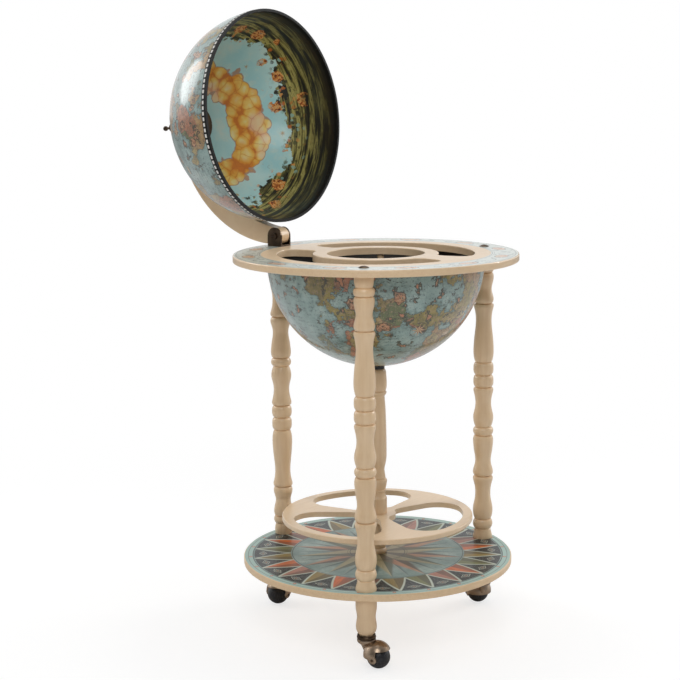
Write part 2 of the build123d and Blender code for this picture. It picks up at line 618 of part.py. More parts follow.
def hinge_pin():
    """Slotted screw that the lid turns on."""
    outside = BRACKET_WIDTH / 2
    pin = across_hinge(PIN_RADIUS, -outside, outside + PIN_NUT_HEIGHT)
    pin += across_hinge(PIN_HEAD_RADIUS, -outside - PIN_HEAD_HEIGHT, -outside)
    slot = Pos(-outside - PIN_HEAD_HEIGHT, LEG_CIRCLE_RADIUS, PIN_Z)
    return pin - slot * Box(2 * PIN_SLOT_DEPTH, 3 * PIN_HEAD_RADIUS, PIN_SLOT_WIDTH)


def hinge_pin_nut():
    """Nut on the far end of the pin."""
    start = BRACKET_WIDTH / 2
    blank = Rot(0, 90, 0) * hexagon(PIN_NUT_WIDTH, 0, PIN_NUT_HEIGHT)
    nut = Pos(start, LEG_CIRCLE_RADIUS, PIN_Z) * blank
    return nut - across_hinge(PIN_RADIUS + PIN_FIT, start, start + PIN_NUT_HEIGHT)


# --- Lid, built closed and swung open at the end ------------------------------------------


def above_lid(angle):
    """Frame at the lid's centre whose Z points up the arm's meridian at an elevation."""
    return Pos(0, 0, LID_CENTRE) * Rot(angle - 90.0, 0, 0)


def lid_shell():
    """Upper half of the globe."""
    edge = RING_TOP + LID_EDGE_GAP + TRIM_THICKNESS
    shell = globe_shell(LID_CENTRE, edge, LID_CENTRE + 2 * GLOBE_RADIUS)
    for angle, radius in lid_hole_places():
        shell -= above_lid(angle) * upright(radius, GLOBE_RADIUS / 2, 2 * GLOBE_RADIUS)
    return shell


def lid_hole_places():
    """Elevation and radius of each hole through the shell."""
    screw = ARM_SCREW_RADIUS + SCREW_HOLE_CLEARANCE
    shank = FINIAL_SHANK_RADIUS + SCREW_HOLE_CLEARANCE
    return [(angle, screw) for angle in ARM_SCREW_ANGLES] + [(90.0, shank)]


def lid_rim_trim():
    """Channel that covers the lid's edge inside and out."""
    bottom = RING_TOP + LID_EDGE_GAP
    trim = ball(GLOBE_RADIUS + TRIM_THICKNESS, LID_CENTRE)
    trim -= ball(GLOBE_INNER_RADIUS - TRIM_THICKNESS, LID_CENTRE)
    trim &= block(3 * GLOBE_RADIUS, 3 * GLOBE_RADIUS, bottom, bottom + TRIM_WIDTH)
    return trim - globe_shell(LID_CENTRE, bottom + TRIM_THICKNESS, LID_CENTRE + GLOBE_RADIUS)


def on_meridian(radius, elevation):
    """Point in the hinge's plane, measured from the lid's centre."""
    along, up = on_circle(radius, elevation)
    return 0, along, LID_CENTRE + up


def meridian_arm():
    """Curved wooden arm from the hinge up to the pole, fitted to the shell."""
    outer, end = ARM_OUTER_RADIUS, 90.0 + ARM_PAST_POLE
    start, foot = ARM_SHELL_START, PIN_ELEVATION
    blank = GLOBE_RADIUS - ARM_SHELL_OVERCUT
    under_pin = PIN_REACH - KNUCKLE_RADIUS
    between = (GLOBE_RADIUS + under_pin) / 2
    outline = [
        ThreePointArc(*[on_meridian(outer, a) for a in (foot, (foot + end) / 2, end)]),
        Line(on_meridian(outer, end), on_meridian(blank, end)),
        ThreePointArc(*[on_meridian(blank, a) for a in (end, (start + end) / 2, start)]),
        Line(on_meridian(blank, start), on_meridian(GLOBE_RADIUS, start)),
        Spline(
            on_meridian(GLOBE_RADIUS, start),
            on_meridian(between, (start + foot) / 2),
            on_meridian(under_pin, foot),
        ),
        Line(on_meridian(under_pin, foot), on_meridian(outer, foot)),
    ]
    side = make_face(outline)
    tip = side.vertices().sort_by_distance(on_meridian(outer, end))[0]
    side = fillet(tip, ARM_END_ROUND)
    half = ARM_WIDTH / 2
    arm = extrude(side, half, dir=(1, 0, 0), both=True)
    arm += across_hinge(KNUCKLE_RADIUS, -half, half)
    arm -= ball(GLOBE_RADIUS, LID_CENTRE)
    arm -= across_hinge(PIN_RADIUS + PIN_FIT, -ARM_WIDTH, ARM_WIDTH)
    for angle in ARM_SCREW_ANGLES:
        hole = upright(
            ARM_SCREW_RADIUS + SCREW_HOLE_CLEARANCE, 0, GLOBE_INNER_RADIUS + ARM_SCREW_DEPTH
        )
        arm -= above_lid(angle) * hole
    arm -= above_lid(90.0) * upright(FINIAL_SHANK_RADIUS + SCREW_HOLE_CLEARANCE, 0, 2 * outer)
    return arm - above_lid(90.0) * upright(FINIAL_SEAT_RADIUS, FINIAL_SEAT, 2 * outer)


def finial():
    """Turned knob at the pole, with the shank that clamps arm and shell."""
    top = FINIAL_SEAT + FINIAL_HEIGHT
    knob = turned(top, FINIAL_SEAT, FINIAL_TIP_RADIUS, FINIAL_TURNING)
    nut_bottom = POLE_NUT_TOP - POLE_NUT_HEIGHT
    return above_lid(90.0) * (knob + upright(FINIAL_SHANK_RADIUS, nut_bottom, FINIAL_SEAT))


def pole_plate():
    """Dished washer inside the lid at its pole."""
    plate = Sphere(POLE_PLATE_OUTSIDE) - Sphere(POLE_PLATE_INSIDE)
    plate &= upright(POLE_PLATE_RADIUS, GLOBE_RADIUS / 2, GLOBE_RADIUS)
    hole = upright(FINIAL_SHANK_RADIUS + SCREW_HOLE_CLEARANCE, 0, GLOBE_RADIUS)
    return above_lid(90.0) * (plate - hole)


def pole_nut():
    """Nut on the finial's shank."""
    nut = hexagon(POLE_NUT_WIDTH, POLE_NUT_TOP - POLE_NUT_HEIGHT, POLE_NUT_TOP)
    nut -= upright(FINIAL_SHANK_RADIUS + SCREW_HOLE_CLEARANCE, 0, GLOBE_RADIUS)
    return above_lid(90.0) * nut


def arm_screws():
    """Screws from inside the lid into the arm."""
    seat = sqrt(GLOBE_INNER_RADIUS**2 - ARM_SCREW_HEAD_RADIUS**2)
    screw = upright(ARM_SCREW_HEAD_RADIUS, seat - ARM_SCREW_HEAD_HEIGHT, seat)
    screw += upright(ARM_SCREW_RADIUS, seat, GLOBE_INNER_RADIUS + ARM_SCREW_DEPTH)
    return [above_lid(angle) * screw for angle in ARM_SCREW_ANGLES]


# --- Castors -------------------------------------------------------------------------


def along_axle(radius, length):
    """Cylinder on the ball's axle, in the castor's own frame."""
    return Pos(CASTOR_TRAIL, 0, BALL_RADIUS) * Rot(90, 0, 0) * Cylinder(radius, length)


def castor_cup(angle):
    """Metal cup on the leg's end."""
    top = CUP_BOTTOM + CUP_HEIGHT
    cup = turned(top, CUP_BOTTOM, CUP_TOP_RADIUS, CUP_TURNING)
    cup -= upright(CUP_RECESS_RADIUS, LEG_END_HEIGHT, top)
    cup -= upright(STEM_RADIUS + SCREW_HOLE_CLEARANCE, CUP_BOTTOM, top)
    return at_leg(angle) * cup


def castor_stems():
    """Pins in the legs that the hoods swivel on."""
    stem = upright(STEM_RADIUS, NECK_TOP - STEM_IN_HOOD, LEG_END_HEIGHT + STEM_DEPTH)
    return [at_leg(angle) * stem for angle in LEG_ANGLES]


def castor_hood():
    """Hood over the back and top of the ball, with a cheek down each side to the axle."""
    axle_height, wide = BALL_RADIUS, 4 * HOOD_RADIUS
    shell = ball(HOOD_RADIUS, HOOD_CENTRE, CASTOR_TRAIL - HOOD_SETBACK)
    keep = block(wide, wide, axle_height + HOOD_EDGE_RISE, wide, CASTOR_TRAIL)
    side_edge = CASTOR_TRAIL + CHEEK_FRONT
    keep += block(wide, wide, axle_height, wide, side_edge - wide / 2)
    keep += along_axle(CHEEK_RADIUS, wide)
    hood = shell & keep
    hood += turned(NECK_TOP, NECK_BOTTOM, NECK_TOP_RADIUS, NECK_TURNING)
    hood -= ball(HOOD_RADIUS - HOOD_WALL, HOOD_CENTRE, CASTOR_TRAIL - HOOD_SETBACK)
    hood -= ball(BALL_RADIUS + HOOD_CLEARANCE, BALL_RADIUS, CASTOR_TRAIL)
    hood -= along_axle(AXLE_RADIUS + SCREW_HOLE_CLEARANCE, wide)
    stem_hole_bottom = NECK_TOP - STEM_IN_HOOD - STEM_END_GAP
    return hood - upright(STEM_RADIUS + STEM_FIT, stem_hole_bottom, NECK_TOP)


def castor_axle():
    """Rivet through the cheeks and the ball."""
    return along_axle(AXLE_RADIUS, 2 * (CHEEK_REACH + AXLE_END))


def castor_ball():
    """Ball wheel."""
    return ball(BALL_RADIUS, BALL_RADIUS, CASTOR_TRAIL) - along_axle(
        AXLE_RADIUS + AXLE_FIT, 3 * BALL_RADIUS
    )


# --- Assembly ------------------------------------------------------------------------

stand = {
    "horizon_ring": horizon_ring(),
    "insert_plate": insert_plate(),
    "glass_tray": glass_tray(),
    "tray_spacers": tray_spacers(),
    "bowl_shell": bowl_shell(),
    "bottle_floor": bottle_floor(),
    "bowl_seat": bowl_seat(),
    "center_post": center_post(),
    "bottle_holder": bottle_holder(),
    "post_foot": post_foot(),
    "shelf_plate": shelf_plate(),
    "post_rod": post_rod(),
    "rod_washers": rod_washers(),
    "rod_nuts": rod_nuts(),
    "leg_studs": leg_studs(),
    "ring_cap_bolts": ring_cap_bolts(),
    "hinge_leg_bolt": hinge_leg_bolt(),
    "hinge_bracket": hinge_bracket(),
    "bracket_screws": bracket_screws(),
    "hinge_pin": hinge_pin(),
    "hinge_pin_nut": hinge_pin_nut(),
    "castor_stems": castor_stems(),
}

lid = {
    "lid_shell": lid_shell(),
    "lid_rim_trim": lid_rim_trim(),
    "meridian_arm": meridian_arm(),
    "arm_screws": arm_screws(),
    "finial": finial(),
    "pole_plate": pole_plate(),
    "pole_nut": pole_nut(),
}

castors = {
    "castor_hood": castor_hood(),
    "castor_axle": castor_axle(),
    "castor_ball": castor_ball(),
}

pieces = dict(stand)
for name, shape in lid.items():
    solids = shape if isinstance(shape, list) else [shape]
    pieces[name] = [solid.rotate(HINGE_AXIS, -LID_OPEN_ANGLE) for solid in solids]
for number, angle in enumerate(LEG_ANGLES, start=1):
    pieces[f"upper_leg_{number}"] = upper_leg(angle)
    pieces[f"lower_leg_{number}"] = lower_leg(angle)
    pieces[f"castor_cup_{number}"] = castor_cup(angle)
    swivel = at_leg(angle) * Rot(0, 0, CASTOR_ANGLES[number - 1])
    for name, shape in castors.items():
        pieces[f"{name}_{number}"] = swivel * shape

os.makedirs("parts", exist_ok=True)
for name, shape in pieces.items():
    solids = shape if isinstance(shape, list) else [shape]
    group = Compound(children=[part for solid in solids for part in solid.solids()])
    export_step(group, f"parts/{name}.step")
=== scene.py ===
"""Looks of the globe bar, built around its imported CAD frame. Metres, +Z up."""

import json
from math import cos, pi, radians, sin

import bmesh
import bpy
from mathutils import Matrix, Vector


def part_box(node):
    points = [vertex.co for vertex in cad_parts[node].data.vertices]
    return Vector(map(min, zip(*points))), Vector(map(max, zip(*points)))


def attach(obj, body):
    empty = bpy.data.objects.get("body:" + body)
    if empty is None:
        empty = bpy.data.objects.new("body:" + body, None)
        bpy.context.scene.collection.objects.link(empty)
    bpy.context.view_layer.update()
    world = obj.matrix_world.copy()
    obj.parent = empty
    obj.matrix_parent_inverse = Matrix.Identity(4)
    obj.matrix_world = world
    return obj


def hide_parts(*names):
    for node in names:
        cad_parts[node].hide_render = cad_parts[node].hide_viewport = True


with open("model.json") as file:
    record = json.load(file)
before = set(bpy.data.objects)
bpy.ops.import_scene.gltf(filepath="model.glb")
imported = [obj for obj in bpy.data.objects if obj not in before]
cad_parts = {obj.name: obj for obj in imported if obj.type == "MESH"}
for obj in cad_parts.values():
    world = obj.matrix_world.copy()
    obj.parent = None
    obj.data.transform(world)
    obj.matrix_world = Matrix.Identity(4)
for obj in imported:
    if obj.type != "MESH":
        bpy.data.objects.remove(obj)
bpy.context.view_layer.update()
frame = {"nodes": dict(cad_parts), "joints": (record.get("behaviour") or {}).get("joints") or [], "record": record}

# --- Sizes and places of the CAD, in metres --------------------------------------------

GLOBE_RADIUS = 0.183
GLOBE_WALL = 0.003
INNER_RADIUS = GLOBE_RADIUS - GLOBE_WALL
LID_RISE = 0.0095              # closed lid's centre above the bowl's

hinge = next(joint for joint in frame["joints"] if joint["name"] == "lid_hinge")
HINGE = Vector(hinge["pos_m"])
LID_TILT = radians(hinge["range_deg"][1])      # turns the open lid closed
BOWL_CENTRE = Vector((0, 0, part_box("bowl_shell")[0].z + GLOBE_RADIUS))
LID_CENTRE = BOWL_CENTRE + Vector((0, 0, LID_RISE))
OPEN_LID = Matrix.Translation(HINGE) @ Matrix.Rotation(-LID_TILT, 4, "X")
OPEN_LID = OPEN_LID @ Matrix.Translation(-HINGE)
OPEN_CENTRE = OPEN_LID @ LID_CENTRE
RING_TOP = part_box("horizon_ring")[1].z
SHELF_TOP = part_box("shelf_plate")[1].z

# --- Looks: colours in 0-255 display values, sizes in metres ---------------------------

WOOD_LIGHT, WOOD_DEEP = (237, 208, 170), (230, 198, 158)
# Boards: paler than the turned wood, painted light on their upward faces
BOARD_TOP_LIT_LIGHT, BOARD_TOP_LIT_DEEP = (240, 213, 178), (234, 205, 168)
BOARD_EDGE_GRAIN = (40.0, 260.0, 260.0)
BRONZE_DARK, BRONZE_LIGHT = (70, 58, 48), (98, 82, 66)
# Castor hoods: a paler copy of the bronze, painted sheen standing in for their highlights
HOOD_SHEEN_DARK, HOOD_SHEEN_LIGHT = (146, 128, 110), (176, 156, 136)
SEA = (150, 176, 172)
INK = (34, 38, 40)

SHORE = 0.52                   # height of the made-up relief where the sea ends
MERIDIANS = 24
COMPASS_SIZE = 0.014
COMPASS_CIRCLE = 0.0152
RHUMB_LINES = 16
RHUMB_REACH = 0.16
WREATH_FALL = 0.56             # the clouds' middle, in radians from the lid's crown
WOODS_FALL = 1.0               # the woods' inner edge, likewise
PUFF_SCALE = 8.5

DASH_COUNT = 126
DASH_HEIGHT = 0.0048           # above the lid's edge plane
DASH_WIDTH = 0.0034

# Ring's print: radii, and (radius, width) of its lines
RING_PRINT_RADIUS = 0.2385     # where the board's edge starts to round off
RING_LINES = ((0.1955, 0.0009), (0.1985, 0.0006), (0.2345, 0.0009))
SCROLL_RADIUS = 0.2155
SCROLL_SWING = 0.009
SCROLL_WAVES = 24
CARTOUCHE_COUNT = 12
CARTOUCHE_OFFSET = radians(12)
CARTOUCHE_HALF_SIZE = (0.019, 0.0105)
GRADUATIONS = 180
TICKS_FROM, TICKS_TO = 0.2315, 0.2345

# Shelf's print, likewise
SHELF_PRINT_RADIUS = 0.2293
SHELF_LINES = ((0.0475, 0.0012), (0.0515, 0.0006), (0.1475, 0.0012), (0.2155, 0.0012),
               (0.2235, 0.0007))
BORDER_RADIUS = 0.2155
RAY_COUNT = 24
RAY_INNER, RAY_OUTER = 0.150, 0.213
LOZENGE_RADIUS = 0.198
LOZENGE_HALF_SIZE = (0.0125, 0.0068)
BLOOM_RADIUS = 0.2195
BLOOM_OFFSET = 0.05
ROSE_LAYERS = (                # size, points, turn, lit side, dark side
    (0.142, 16, pi / 16, (150, 162, 152), (74, 96, 96)),
    (0.146, 8, pi / 8, (190, 134, 98), (92, 66, 48)),
    (0.140, 8, 0.0, (176, 164, 126), (84, 86, 62)),
)


def colour(red, green, blue):
    """Scene-linear colour from 0-255 display values."""
    channels = [c / 255 for c in (red, green, blue)]
    linear = [c / 12.92 if c <= 0.04045 else ((c + 0.055) / 1.055) ** 2.4 for c in channels]
    return (*linear, 1.0)


# --- Short names for shader nodes ------------------------------------------------------


class Value:
    """A number in a material, so that sums of nodes read as sums."""

    def __init__(self, graph, socket):
        self.graph, self.socket = graph, socket

    def __add__(self, other):
        return self.graph.math("ADD", self, other)

    def __sub__(self, other):
        return self.graph.math("SUBTRACT", self, other)

    def __rsub__(self, other):
        return self.graph.math("SUBTRACT", other, self)

    def __mul__(self, other):
        return self.graph.math("MULTIPLY", self, other)

    def __truediv__(self, other):
        return self.graph.math("DIVIDE", self, other)

    __radd__, __rmul__ = __add__, __mul__


class Graph:
    """One material's nodes. Numbers, colours and sockets can stand for each other."""

    def __init__(self, name):
        self.material = bpy.data.materials.new(name)
        self.material.use_nodes = True
        self.tree = self.material.node_tree
        self.tree.nodes.clear()
        self.place = self.node("TexCoord").outputs["Object"]

    def node(self, kind, **settings):
        made = self.tree.nodes.new("ShaderNode" + kind)
        for key, value in settings.items():
            setattr(made, key, value)
        return made

    def put(self, socket, value):
        if isinstance(value, Value):
            value = value.socket
        if isinstance(value, bpy.types.NodeSocket):
            self.tree.links.new(value, socket)
        elif value is not None:
            socket.default_value = value

    def math(self, operation, *values, clamp=False):
        made = self.node("Math", operation=operation, use_clamp=clamp)
        for socket, value in zip(made.inputs, values):
            self.put(socket, value)
        return Value(self, made.outputs[0])

    def vector(self, operation, *values):
        made = self.node("VectorMath", operation=operation)
        if operation == "SCALE":
            self.put(made.inputs[0], values[0])
            self.put(made.inputs["Scale"], values[1])
        else:
            for socket, value in zip(made.inputs, values):
                self.put(socket, value)
        if operation in ("DOT_PRODUCT", "LENGTH"):
            return Value(self, made.outputs["Value"])
        return made.outputs[0]

    def split(self, vector):
        made = self.node("SeparateXYZ")
        self.put(made.inputs[0], vector)
        return [Value(self, out) for out in made.outputs]

    def join(self, x, y, z=0.0):
        made = self.node("CombineXYZ")
        for socket, value in zip(made.inputs, (x, y, z)):
            self.put(socket, value)
        return made.outputs[0]

    def smooth(self, value, low, high):
        """0 at low, 1 at high, eased between."""
        made = self.node("MapRange", interpolation_type="SMOOTHSTEP")
        self.put(made.inputs["Value"], value)
        self.put(made.inputs["From Min"], low)
        self.put(made.inputs["From Max"], high)
        return Value(self, made.outputs[0])

    def line(self, distance, width, soft=None):
        """1 where a distance is within half a width of 0."""
        soft = width * 0.35 if soft is None else soft
        distance = self.math("ABSOLUTE", distance)
        return self.smooth(distance, width / 2 + soft, width / 2 - soft / 2)

    def both(self, *masks):
        """1 where every mask is."""
        total = masks[0]
        for mask in masks[1:]:
            total = total * mask
        return total

    def either(self, *masks):
        """1 where any mask is."""
        total = masks[0]
        for mask in masks[1:]:
            total = self.math("MAXIMUM", total, mask)
        return total

    def mix(self, amount, a, b):
        """Colour a at 0, colour b at 1."""
        made = self.node("Mix", data_type="RGBA")
        self.put(made.inputs["Factor"], amount)
        self.put(made.inputs[6], a)
        self.put(made.inputs[7], b)
        return made.outputs[2]

    def noise(self, vector, scale, detail=2.0, rough=0.5, distortion=0.0):
        made = self.node("TexNoise")
        for name, value in (("Vector", vector), ("Scale", scale), ("Detail", detail),
                            ("Roughness", rough), ("Distortion", distortion)):
            self.put(made.inputs[name], value)
        return Value(self, made.outputs[0])

    def wobble(self, vector, scale, amount, detail):
        """The vector, pushed about by noise."""
        made = self.node("TexNoise")
        for name, value in (("Vector", vector), ("Scale", scale), ("Detail", detail)):
            self.put(made.inputs[name], value)
        centred = self.vector("SUBTRACT", made.outputs["Color"], (0.5, 0.5, 0.5))
        return self.vector("ADD", vector, self.vector("SCALE", centred, amount))

    def cells(self, vector, scale, feature="F1", randomness=1.0, flat=False):
        """Distance, three random numbers and the middle of each cell, or its edge's distance."""
        dimensions = "2D" if flat else "3D"
        made = self.node("TexVoronoi", feature=feature, voronoi_dimensions=dimensions)
        self.put(made.inputs["Vector"], vector)
        self.put(made.inputs["Scale"], scale)
        self.put(made.inputs["Randomness"], randomness)
        distance = Value(self, made.outputs["Distance"])
        if feature == "DISTANCE_TO_EDGE":
            return distance
        return distance, self.split(made.outputs["Color"]), made.outputs["Position"]

    def ramp(self, value, stops, hard=False):
        """Colours along a value, blended or in hard steps."""
        made = self.node("ValToRGB")
        made.color_ramp.interpolation = "CONSTANT" if hard else "LINEAR"
        elements = made.color_ramp.elements
        while len(elements) < len(stops):
            elements.new(0.5)
        for element, (position, tint) in zip(elements, stops):
            element.position = position
            element.color = tint
        self.put(made.inputs[0], value)
        return made.outputs[0]

    def bump(self, height, distance, strength):
        made = self.node("Bump")
        made.inputs["Strength"].default_value = strength
        made.inputs["Distance"].default_value = distance
        self.put(made.inputs["Height"], height)
        return made.outputs[0]

    def finish(self, base, roughness, metallic=0.0, coat=0.0, coat_roughness=0.1,
               normal=None, specular=0.5):
        """The material, with its shader wired to the output."""
        shader = self.node("BsdfPrincipled")
        for name, value in (("Base Color", base), ("Roughness", roughness),
                            ("Metallic", metallic), ("Coat Weight", coat),
                            ("Coat Roughness", coat_roughness), ("Normal", normal),
                            ("Specular IOR Level", specular)):
            self.put(shader.inputs[name], value)
        self.tree.links.new(shader.outputs[0], self.node("OutputMaterial").inputs[0])
        return self.material


# --- Wood, metal and plastic -----------------------------------------------------------


def wood_base(g, grain, light=WOOD_LIGHT, deep=WOOD_DEEP):
    """Two close tones of wood along its faint fibres."""
    fibre = g.noise(g.vector("MULTIPLY", g.place, grain), 1.0, 5.0, 0.6, 0.4)
    return g.mix(g.smooth(fibre, 0.3, 0.72), colour(*light), colour(*deep))


def pale_wood(name, grain, light=WOOD_LIGHT, deep=WOOD_DEEP):
    """Cream-lacquered wood, its faint grain stretched along one axis by the scale vector."""
    g = Graph(name)
    along = g.vector("MULTIPLY", g.place, grain)
    base = wood_base(g, grain, light, deep)
    pores = g.noise(g.vector("MULTIPLY", along, (3.0, 3.0, 1.4)), 1.0, 3.0, 0.65)
    patches = g.noise(g.place, 9.0, 2.0)
    base = g.mix(g.smooth(patches, 0.4, 0.75) * 0.3, base, colour(226, 192, 150))
    base = g.mix(g.smooth(pores, 0.66, 0.78) * 0.12, base, colour(190, 158, 122))
    roughness = g.smooth(patches, 0.2, 0.8) * 0.08 + 0.38
    normal = g.bump(pores, 0.00002, 0.3)
    return g.finish(base, roughness, coat=0.35, coat_roughness=0.18, normal=normal)


def bronze(name, dark, light):
    """Antique bronze, smooth, a little lighter in random patches between its two given tones."""
    g = Graph(name)
    tone_patches = g.noise(g.place, 45.0, 3.0, 0.5)
    stain = g.noise(g.place, 260.0, 3.0, 0.6)
    base = g.mix(g.smooth(tone_patches, 0.35, 0.7), colour(*dark), colour(*light))
    base = g.mix(g.smooth(stain, 0.55, 0.75) * 0.1, base, colour(74, 62, 52))
    roughness = g.smooth(stain, 0.35, 0.7) * 0.04 + 0.3
    return g.finish(base, roughness, metallic=1.0)


def zinc(name):
    """Zinc plate with faint crystals."""
    g = Graph(name)
    spangle = g.cells(g.place, 500.0)[1][0]
    base = g.mix(spangle, colour(168, 170, 174), colour(196, 198, 202))
    return g.finish(base, spangle * 0.12 + 0.3, metallic=1.0)


def black_plastic(name):
    """Black nylon, scuffed along Z."""
    g = Graph(name)
    scuffs = g.noise(g.vector("MULTIPLY", g.place, (1.0, 1.0, 0.12)), 700.0, 3.0, 0.6)
    base = g.mix(g.smooth(scuffs, 0.45, 0.75), colour(20, 20, 23), colour(62, 62, 68))
    normal = g.bump(scuffs, 0.0001, 0.4)
    return g.finish(base, g.smooth(scuffs, 0.3, 0.7) * 0.2 + 0.34, normal=normal)


def dark_board(name):
    """Near-black board with a fine fibre, used as painted shade inside the bowl."""
    g = Graph(name)
    fibre = g.noise(g.vector("MULTIPLY", g.place, (60.0, 900.0, 900.0)), 1.0, 4.0)
    base = g.mix(fibre, colour(26, 24, 22), colour(46, 42, 38))
    return g.finish(base, 0.5, normal=g.bump(fibre, 0.0001, 0.3))


# --- Printed surfaces ------------------------------------------------------------------


def aged(g, base, vector, scale, amount):
    """Mottled paper and fine specks under the lacquer."""
    mottle = g.noise(vector, scale, 6.0, 0.65)
    base = g.mix(g.smooth(mottle, 0.42, 0.72) * amount, base, colour(98, 124, 116))
    base = g.mix(g.smooth(mottle, 0.5, 0.25) * amount, base, colour(188, 202, 192))
    specks = g.noise(vector, scale * 16, 4.0, 0.7)
    return g.mix(g.smooth(specks, 0.57, 0.66) * 0.5, base, colour(84, 96, 92))


def globe_offset(g, centre, tilt):
    """Place from the globe's centre, in the frame of the closed globe."""
    offset = g.vector("SUBTRACT", g.place, centre)
    if tilt:
        turn = g.node("VectorRotate", rotation_type="X_AXIS")
        turn.inputs["Angle"].default_value = tilt
        g.put(turn.inputs["Vector"], offset)
        offset = turn.outputs[0]
    return offset


def globe_point(g, centre, tilt):
    """Direction from the globe's centre, in the frame of the closed globe."""
    return g.vector("NORMALIZE", globe_offset(g, centre, tilt))


def tangent_place(g, point, longitude, latitude):
    """East and north distance in metres from a place on the globe, and 1 on its half."""
    lon, lat = radians(longitude), radians(latitude)
    east = (-sin(lon), cos(lon), 0)
    north = (-sin(lat) * cos(lon), -sin(lat) * sin(lon), cos(lat))
    out = (cos(lat) * cos(lon), cos(lat) * sin(lon), sin(lat))
    u = g.vector("DOT_PRODUCT", point, east) * GLOBE_RADIUS
    v = g.vector("DOT_PRODUCT", point, north) * GLOBE_RADIUS
    return u, v, g.smooth(g.vector("DOT_PRODUCT", point, out), 0.0, 0.02)


def polar(g, u, v):
    """Distance from the middle, and angle."""
    distance = g.math("SQRT", u * u + v * v)
    return distance, g.math("ARCTAN2", v, u)


WRAP = 4 * pi                  # keeps angles above 0 when they are folded or counted


def folded(g, angle, count):
    """Distance in radians from the nearest of count equal rays."""
    return g.math("PINGPONG", angle + WRAP, pi / count)


def ray_number(g, angle, count):
    """The angle counted in rays, each of which spans one whole number."""
    return (angle + WRAP) / (2 * pi / count) + 0.5


def ray_side(g, angle, count):
    """1 on one side of each ray, 0 on the other."""
    return g.math("GREATER_THAN", g.math("FRACT", ray_number(g, angle, count)), 0.5)


def star(g, u, v, size, points=8, waist=0.3):
    """Masks of a pointed star and of one side of each of its rays."""
    distance, angle = polar(g, u, v)
    side = folded(g, angle, points)
    across = distance * g.math("SINE", side)
    along = distance * g.math("COSINE", side)
    half_step = pi / points
    slope = waist * sin(half_step) / (1 - waist * cos(half_step))
    inside = g.smooth(across - (size - along) * slope, size * 0.02, -size * 0.02)
    return inside, ray_side(g, angle, points)


def ship(g, u, v, size):
    """Masks of a small sailing ship's hull with its masts, and of its sails."""
    x, y = u / size, v / size
    deck = y + 0.28 - g.math("MULTIPLY", x, x) * 0.35
    hull = g.both(g.smooth(deck, 0.03, -0.03), g.smooth(deck, -0.34, -0.28),
                  g.smooth(g.math("ABSOLUTE", x) + y * -0.5, 0.86, 0.8))
    mast = g.both(g.line(g.math("ABSOLUTE", x - 0.05) - 0.42, 0.06),
                  g.smooth(g.math("ABSOLUTE", y - 0.1), 0.62, 0.58))
    sail_edge = g.math("ABSOLUTE", g.math("PINGPONG", x + 2.35, 0.4) - 0.2)
    swell = (y - 0.28) * (y - 0.28) * 0.9 + sail_edge * 0.5
    rows = g.line(g.math("PINGPONG", y + 2.0, 0.22), 0.05)
    sail = g.both(g.smooth(swell, 0.2, 0.17), g.smooth(g.math("ABSOLUTE", x), 0.72, 0.68),
                  1 - rows, g.smooth(g.math("ABSOLUTE", y - 0.25), 0.48, 0.44))
    return g.either(hull, mast), sail


def ink_marks(g, flat_place, size, share):
    """Short dark strokes in rows, like the fine marks of a chart."""
    place = g.vector("SCALE", flat_place, 1.0 / size)
    strokes = g.noise(g.vector("MULTIPLY", place, (1.2, 1.9, 1.0)), 1.0, 3.0, 0.75)
    rows = g.smooth(g.math("PINGPONG", g.split(place)[1] + 900.0, 1.0), 0.38, 0.55)
    here = g.smooth(g.noise(place, 0.16, 3.0, 0.6), 1.02 - share, 1.06 - share)
    return g.both(g.smooth(strokes, 0.53, 0.57), rows, here)


def coasts(g, base, height, land, latitude):
    """The sea, shaded and hatched along its coasts."""
    near = g.both(g.smooth(height, SHORE - 0.045, SHORE), 1 - land)
    base = g.mix(near * 0.6, base, colour(92, 124, 118))
    rows = g.math("PINGPONG", latitude * 120.0 + 80.0, 0.5)
    return g.mix(g.both(near, g.smooth(rows, 0.25, 0.15)) * 0.5, base, colour(70, 84, 82))


def country(g, point, shifted):
    """Lands in washes of colour with their borders, rivers, hills and woods."""
    region = g.wobble(point, 3.5, 0.35, 4.0)
    chance = g.cells(region, 4.3)[1][0]
    wash = g.ramp(chance, [
        (0.0, colour(176, 142, 92)), (0.2, colour(150, 136, 62)),
        (0.4, colour(106, 120, 74)), (0.55, colour(170, 152, 96)),
        (0.7, colour(178, 116, 82)), (0.82, colour(140, 126, 70)),
    ], hard=True)
    shade = g.noise(point, 15.0, 6.0, 0.68)
    wash = g.mix(g.smooth(shade, 0.42, 0.66) * 0.6, wash, colour(84, 80, 54))
    wash = g.mix(g.smooth(shade, 0.46, 0.34) * 0.45, wash, colour(196, 158, 132))
    borders = g.line(g.cells(region, 4.3, "DISTANCE_TO_EDGE"), 0.014)
    wash = g.mix(borders * 0.7, wash, colour(104, 54, 42))
    rivers = g.line(g.noise(shifted, 5.2, 4.0) - 0.5, 0.008)
    wash = g.mix(rivers * 0.6, wash, colour(54, 66, 62))
    marks = g.noise(g.vector("MULTIPLY", point, (1.0, 1.0, 1.8)), 30.0, 4.0, 0.7)
    ranges = g.smooth(g.noise(point, 6.5, 2.0), 0.4, 0.55)
    hills = g.both(g.smooth(marks, 0.54, 0.58), ranges)
    wash = g.mix(hills * 0.7, wash, colour(66, 50, 44))
    tufts = g.smooth(g.noise(point, 60.0, 3.0, 0.6), 0.57, 0.62)
    return g.mix(tufts * 0.45, wash, colour(196, 164, 140))


def sea_marks(g, base, longitude, latitude, sea):
    """Fine marks in clusters over the sea, and larger ones here and there."""
    chart = g.join(longitude * g.math("COSINE", latitude) * GLOBE_RADIUS,
                   latitude * GLOBE_RADIUS)
    fine = g.both(ink_marks(g, chart, 0.0038, 0.55), sea)
    base = g.mix(fine * 0.8, base, colour(*INK))
    larger = g.both(ink_marks(g, chart, 0.0078, 0.46), sea)
    return g.mix(larger * 0.75, base, colour(66, 58, 66))


